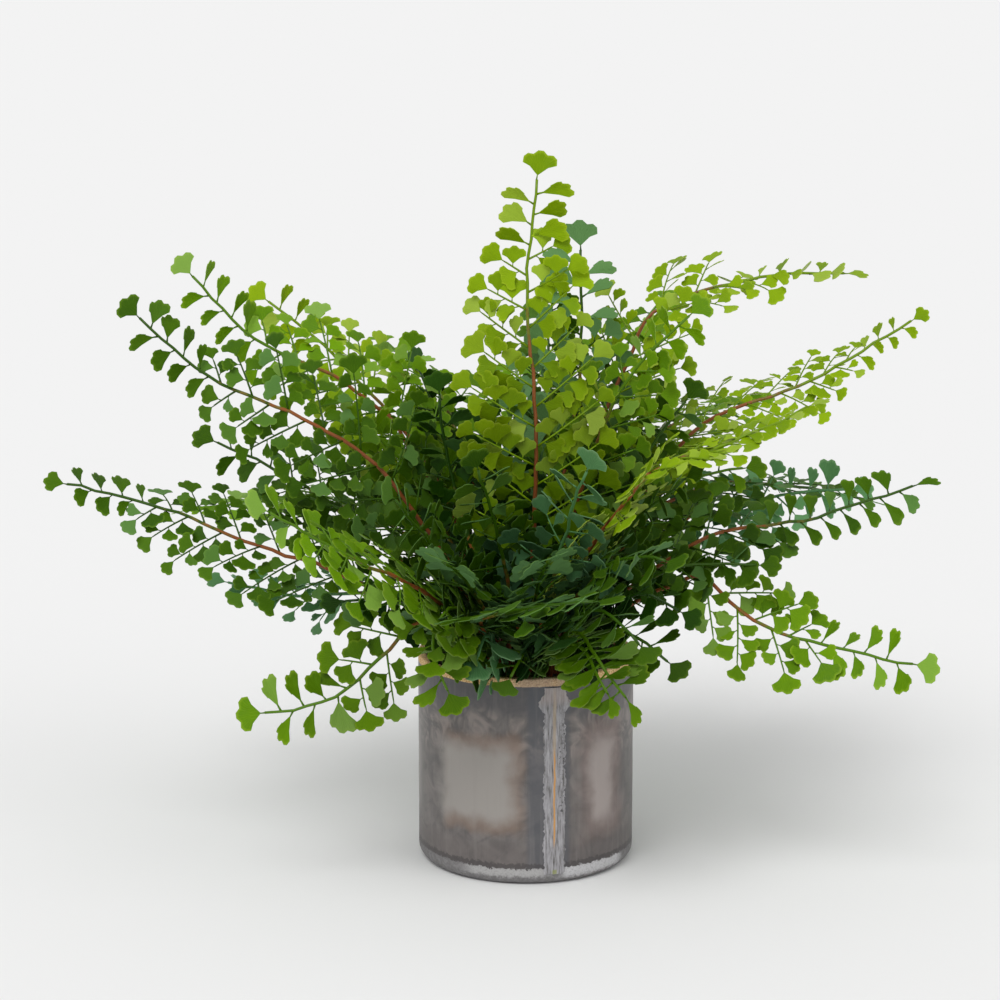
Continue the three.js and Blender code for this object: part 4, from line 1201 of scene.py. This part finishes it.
def add_light(settings):
    """Even light from all round, and two soft lamps."""
    world = bpy.data.worlds.new("studio")
    world.use_nodes = True
    sky = world.node_tree.nodes["Background"]
    sky.inputs["Color"].default_value = (1, 1, 1, 1)
    sky.inputs["Strength"].default_value = settings.sky_strength
    bpy.context.scene.world = world
    for name, (azimuth, elevation) in LAMPS.items():
        sun = bpy.data.lights.new(name, "SUN")
        sun.energy = getattr(settings, f"{name}_strength")
        sun.angle = math.radians(LAMP_SPREAD)
        lamp = add_object(name, sun)
        lamp.rotation_euler = (math.radians(90 - elevation), 0, math.radians(azimuth + 90))


def add_camera(settings):
    """The camera, at the viewing angle of the photograph."""
    camera = bpy.data.cameras.new("camera")
    camera.lens = settings.lens
    camera.sensor_width = SENSOR_WIDTH
    camera.clip_end = 5 * FLOOR_REACH
    viewer = add_object("camera", camera)
    viewer.location = CAMERA_PLACE
    viewer.rotation_euler = (math.radians(90 - CAMERA_DOWN), 0, 0)
    bpy.context.scene.camera = viewer


class PotSettings(bpy.types.PropertyGroup):
    """Sizes of the pot."""

    radius: bpy.props.FloatProperty(
        name="Radius", description="Outer radius of the pot", default=pot_top[0], min=20 * MM, unit="LENGTH")
    height: bpy.props.FloatProperty(
        name="Height", description="Height of the pot", default=pot_top[2], min=40 * MM, unit="LENGTH")
    seam_width: bpy.props.FloatProperty(
        name="Seam width", description="Width of the rough seam", default=12.2 * MM, min=MM, unit="LENGTH")


class SoilSettings(bpy.types.PropertyGroup):
    """Sizes of the soil."""

    top: bpy.props.FloatProperty(
        name="Top", description="Height of the soil's top", default=soil_top[2], min=20 * MM, unit="LENGTH")


class FrondSettings(bpy.types.PropertyGroup):
    """Sizes of the fronds."""

    stem_radius: bpy.props.FloatProperty(
        name="Stem radius", description="Radius of a stem at the soil", default=1.4 * MM, unit="LENGTH")
    tip_radius: bpy.props.FloatProperty(
        name="Tip radius", description="Radius of a stem at its tip", default=0.75 * MM, unit="LENGTH")


class StageSettings(bpy.types.PropertyGroup):
    """Floor, light and camera."""

    floor_colour: bpy.props.FloatVectorProperty(
        name="Floor", description="Colour of the floor", subtype="COLOR", size=3, min=0, max=1,
        default=linear("#ebebeb")[:3])
    sky_strength: bpy.props.FloatProperty(
        name="Sky", description="Strength of the even light from all round", default=0.6, min=0)
    key_strength: bpy.props.FloatProperty(
        name="Key light", description="Strength of the soft light above the viewer", default=1.65, min=0)
    fill_strength: bpy.props.FloatProperty(
        name="Fill light", description="Strength of the soft light from the right", default=0.3, min=0)
    lens: bpy.props.FloatProperty(
        name="Lens", description="Focal length of the camera in millimetres", default=120.636, min=10)


class FERN_OT_pot(bpy.types.Operator):
    """Builds the pot and its seam"""

    bl_idname = "fern.pot"
    bl_label = "Build the pot"

    def execute(self, context):
        make_pot(context.scene.fern_pot)
        make_seam(context.scene.fern_pot)
        return {"FINISHED"}


class FERN_OT_soil(bpy.types.Operator):
    """Builds the potting mix in the pot"""

    bl_idname = "fern.soil"
    bl_label = "Build the soil"

    def execute(self, context):
        make_soil(context.scene.fern_soil)
        return {"FINISHED"}


class FERN_OT_fronds(bpy.types.Operator):
    """Builds every frond with its stem and leaflets"""

    bl_idname = "fern.fronds"
    bl_label = "Build the fronds"

    def execute(self, context):
        settings = context.scene.fern_fronds
        ground = context.scene.fern_soil.top / MM
        templates = {(number, hand): leaf_template(hand, *outline)
                     for number, outline in enumerate(LEAF_OUTLINES) for hand in (1, -1)}
        materials = {tone: [leaf_material(tone), stem_material(tone)] for tone in LEAF_COLOURS}
        for number, (plan, root) in enumerate(zip(FRONDS, find_roots(context.scene.fern_soil))):
            frond = Frond(number, plan, root, ground)
            make_frond(frond, templates, materials[plan.tone], settings)
        for template in templates.values():
            bpy.data.meshes.remove(template)
        return {"FINISHED"}


class FERN_OT_stage(bpy.types.Operator):
    """Builds the floor, the light and the camera"""

    bl_idname = "fern.stage"
    bl_label = "Build the stage"

    def execute(self, context):
        make_floor()
        add_light(context.scene.fern_stage)
        add_camera(context.scene.fern_stage)
        context.scene.view_settings.view_transform = "Standard"
        return {"FINISHED"}


class FERN_PT_panel(bpy.types.Panel):
    """Lists the sizes and the steps of the fern"""

    bl_idname = "FERN_PT_panel"
    bl_label = "Potted maidenhair fern"
    bl_space_type = "VIEW_3D"
    bl_region_type = "UI"
    bl_category = "Fern"

    def draw(self, context):
        for operator, group, _ in STEPS:
            box = self.layout.box()
            settings = getattr(context.scene, group)
            for name in settings.__annotations__:
                box.prop(settings, name)
            box.operator(operator.bl_idname)


# Each step of the build, with the name of its settings and their group.
STEPS = (
    (FERN_OT_stage, "fern_stage", StageSettings), (FERN_OT_pot, "fern_pot", PotSettings),
    (FERN_OT_soil, "fern_soil", SoilSettings), (FERN_OT_fronds, "fern_fronds", FrondSettings),
)
CLASSES = (*(group for _, _, group in STEPS), *(operator for operator, _, _ in STEPS), FERN_PT_panel)


def register():
    for one in CLASSES:
        bpy.utils.register_class(one)
    for _, name, group in STEPS:
        setattr(bpy.types.Scene, name, bpy.props.PointerProperty(type=group))


def unregister():
    for _, name, _ in STEPS:
        delattr(bpy.types.Scene, name)
    for one in reversed(CLASSES):
        bpy.utils.unregister_class(one)


def main():
    """Builds the whole fern."""
    register()
    bpy.ops.fern.stage()
    bpy.ops.fern.pot()
    bpy.ops.fern.soil()
    bpy.ops.fern.fronds()


if __name__ == "__main__":
    main()
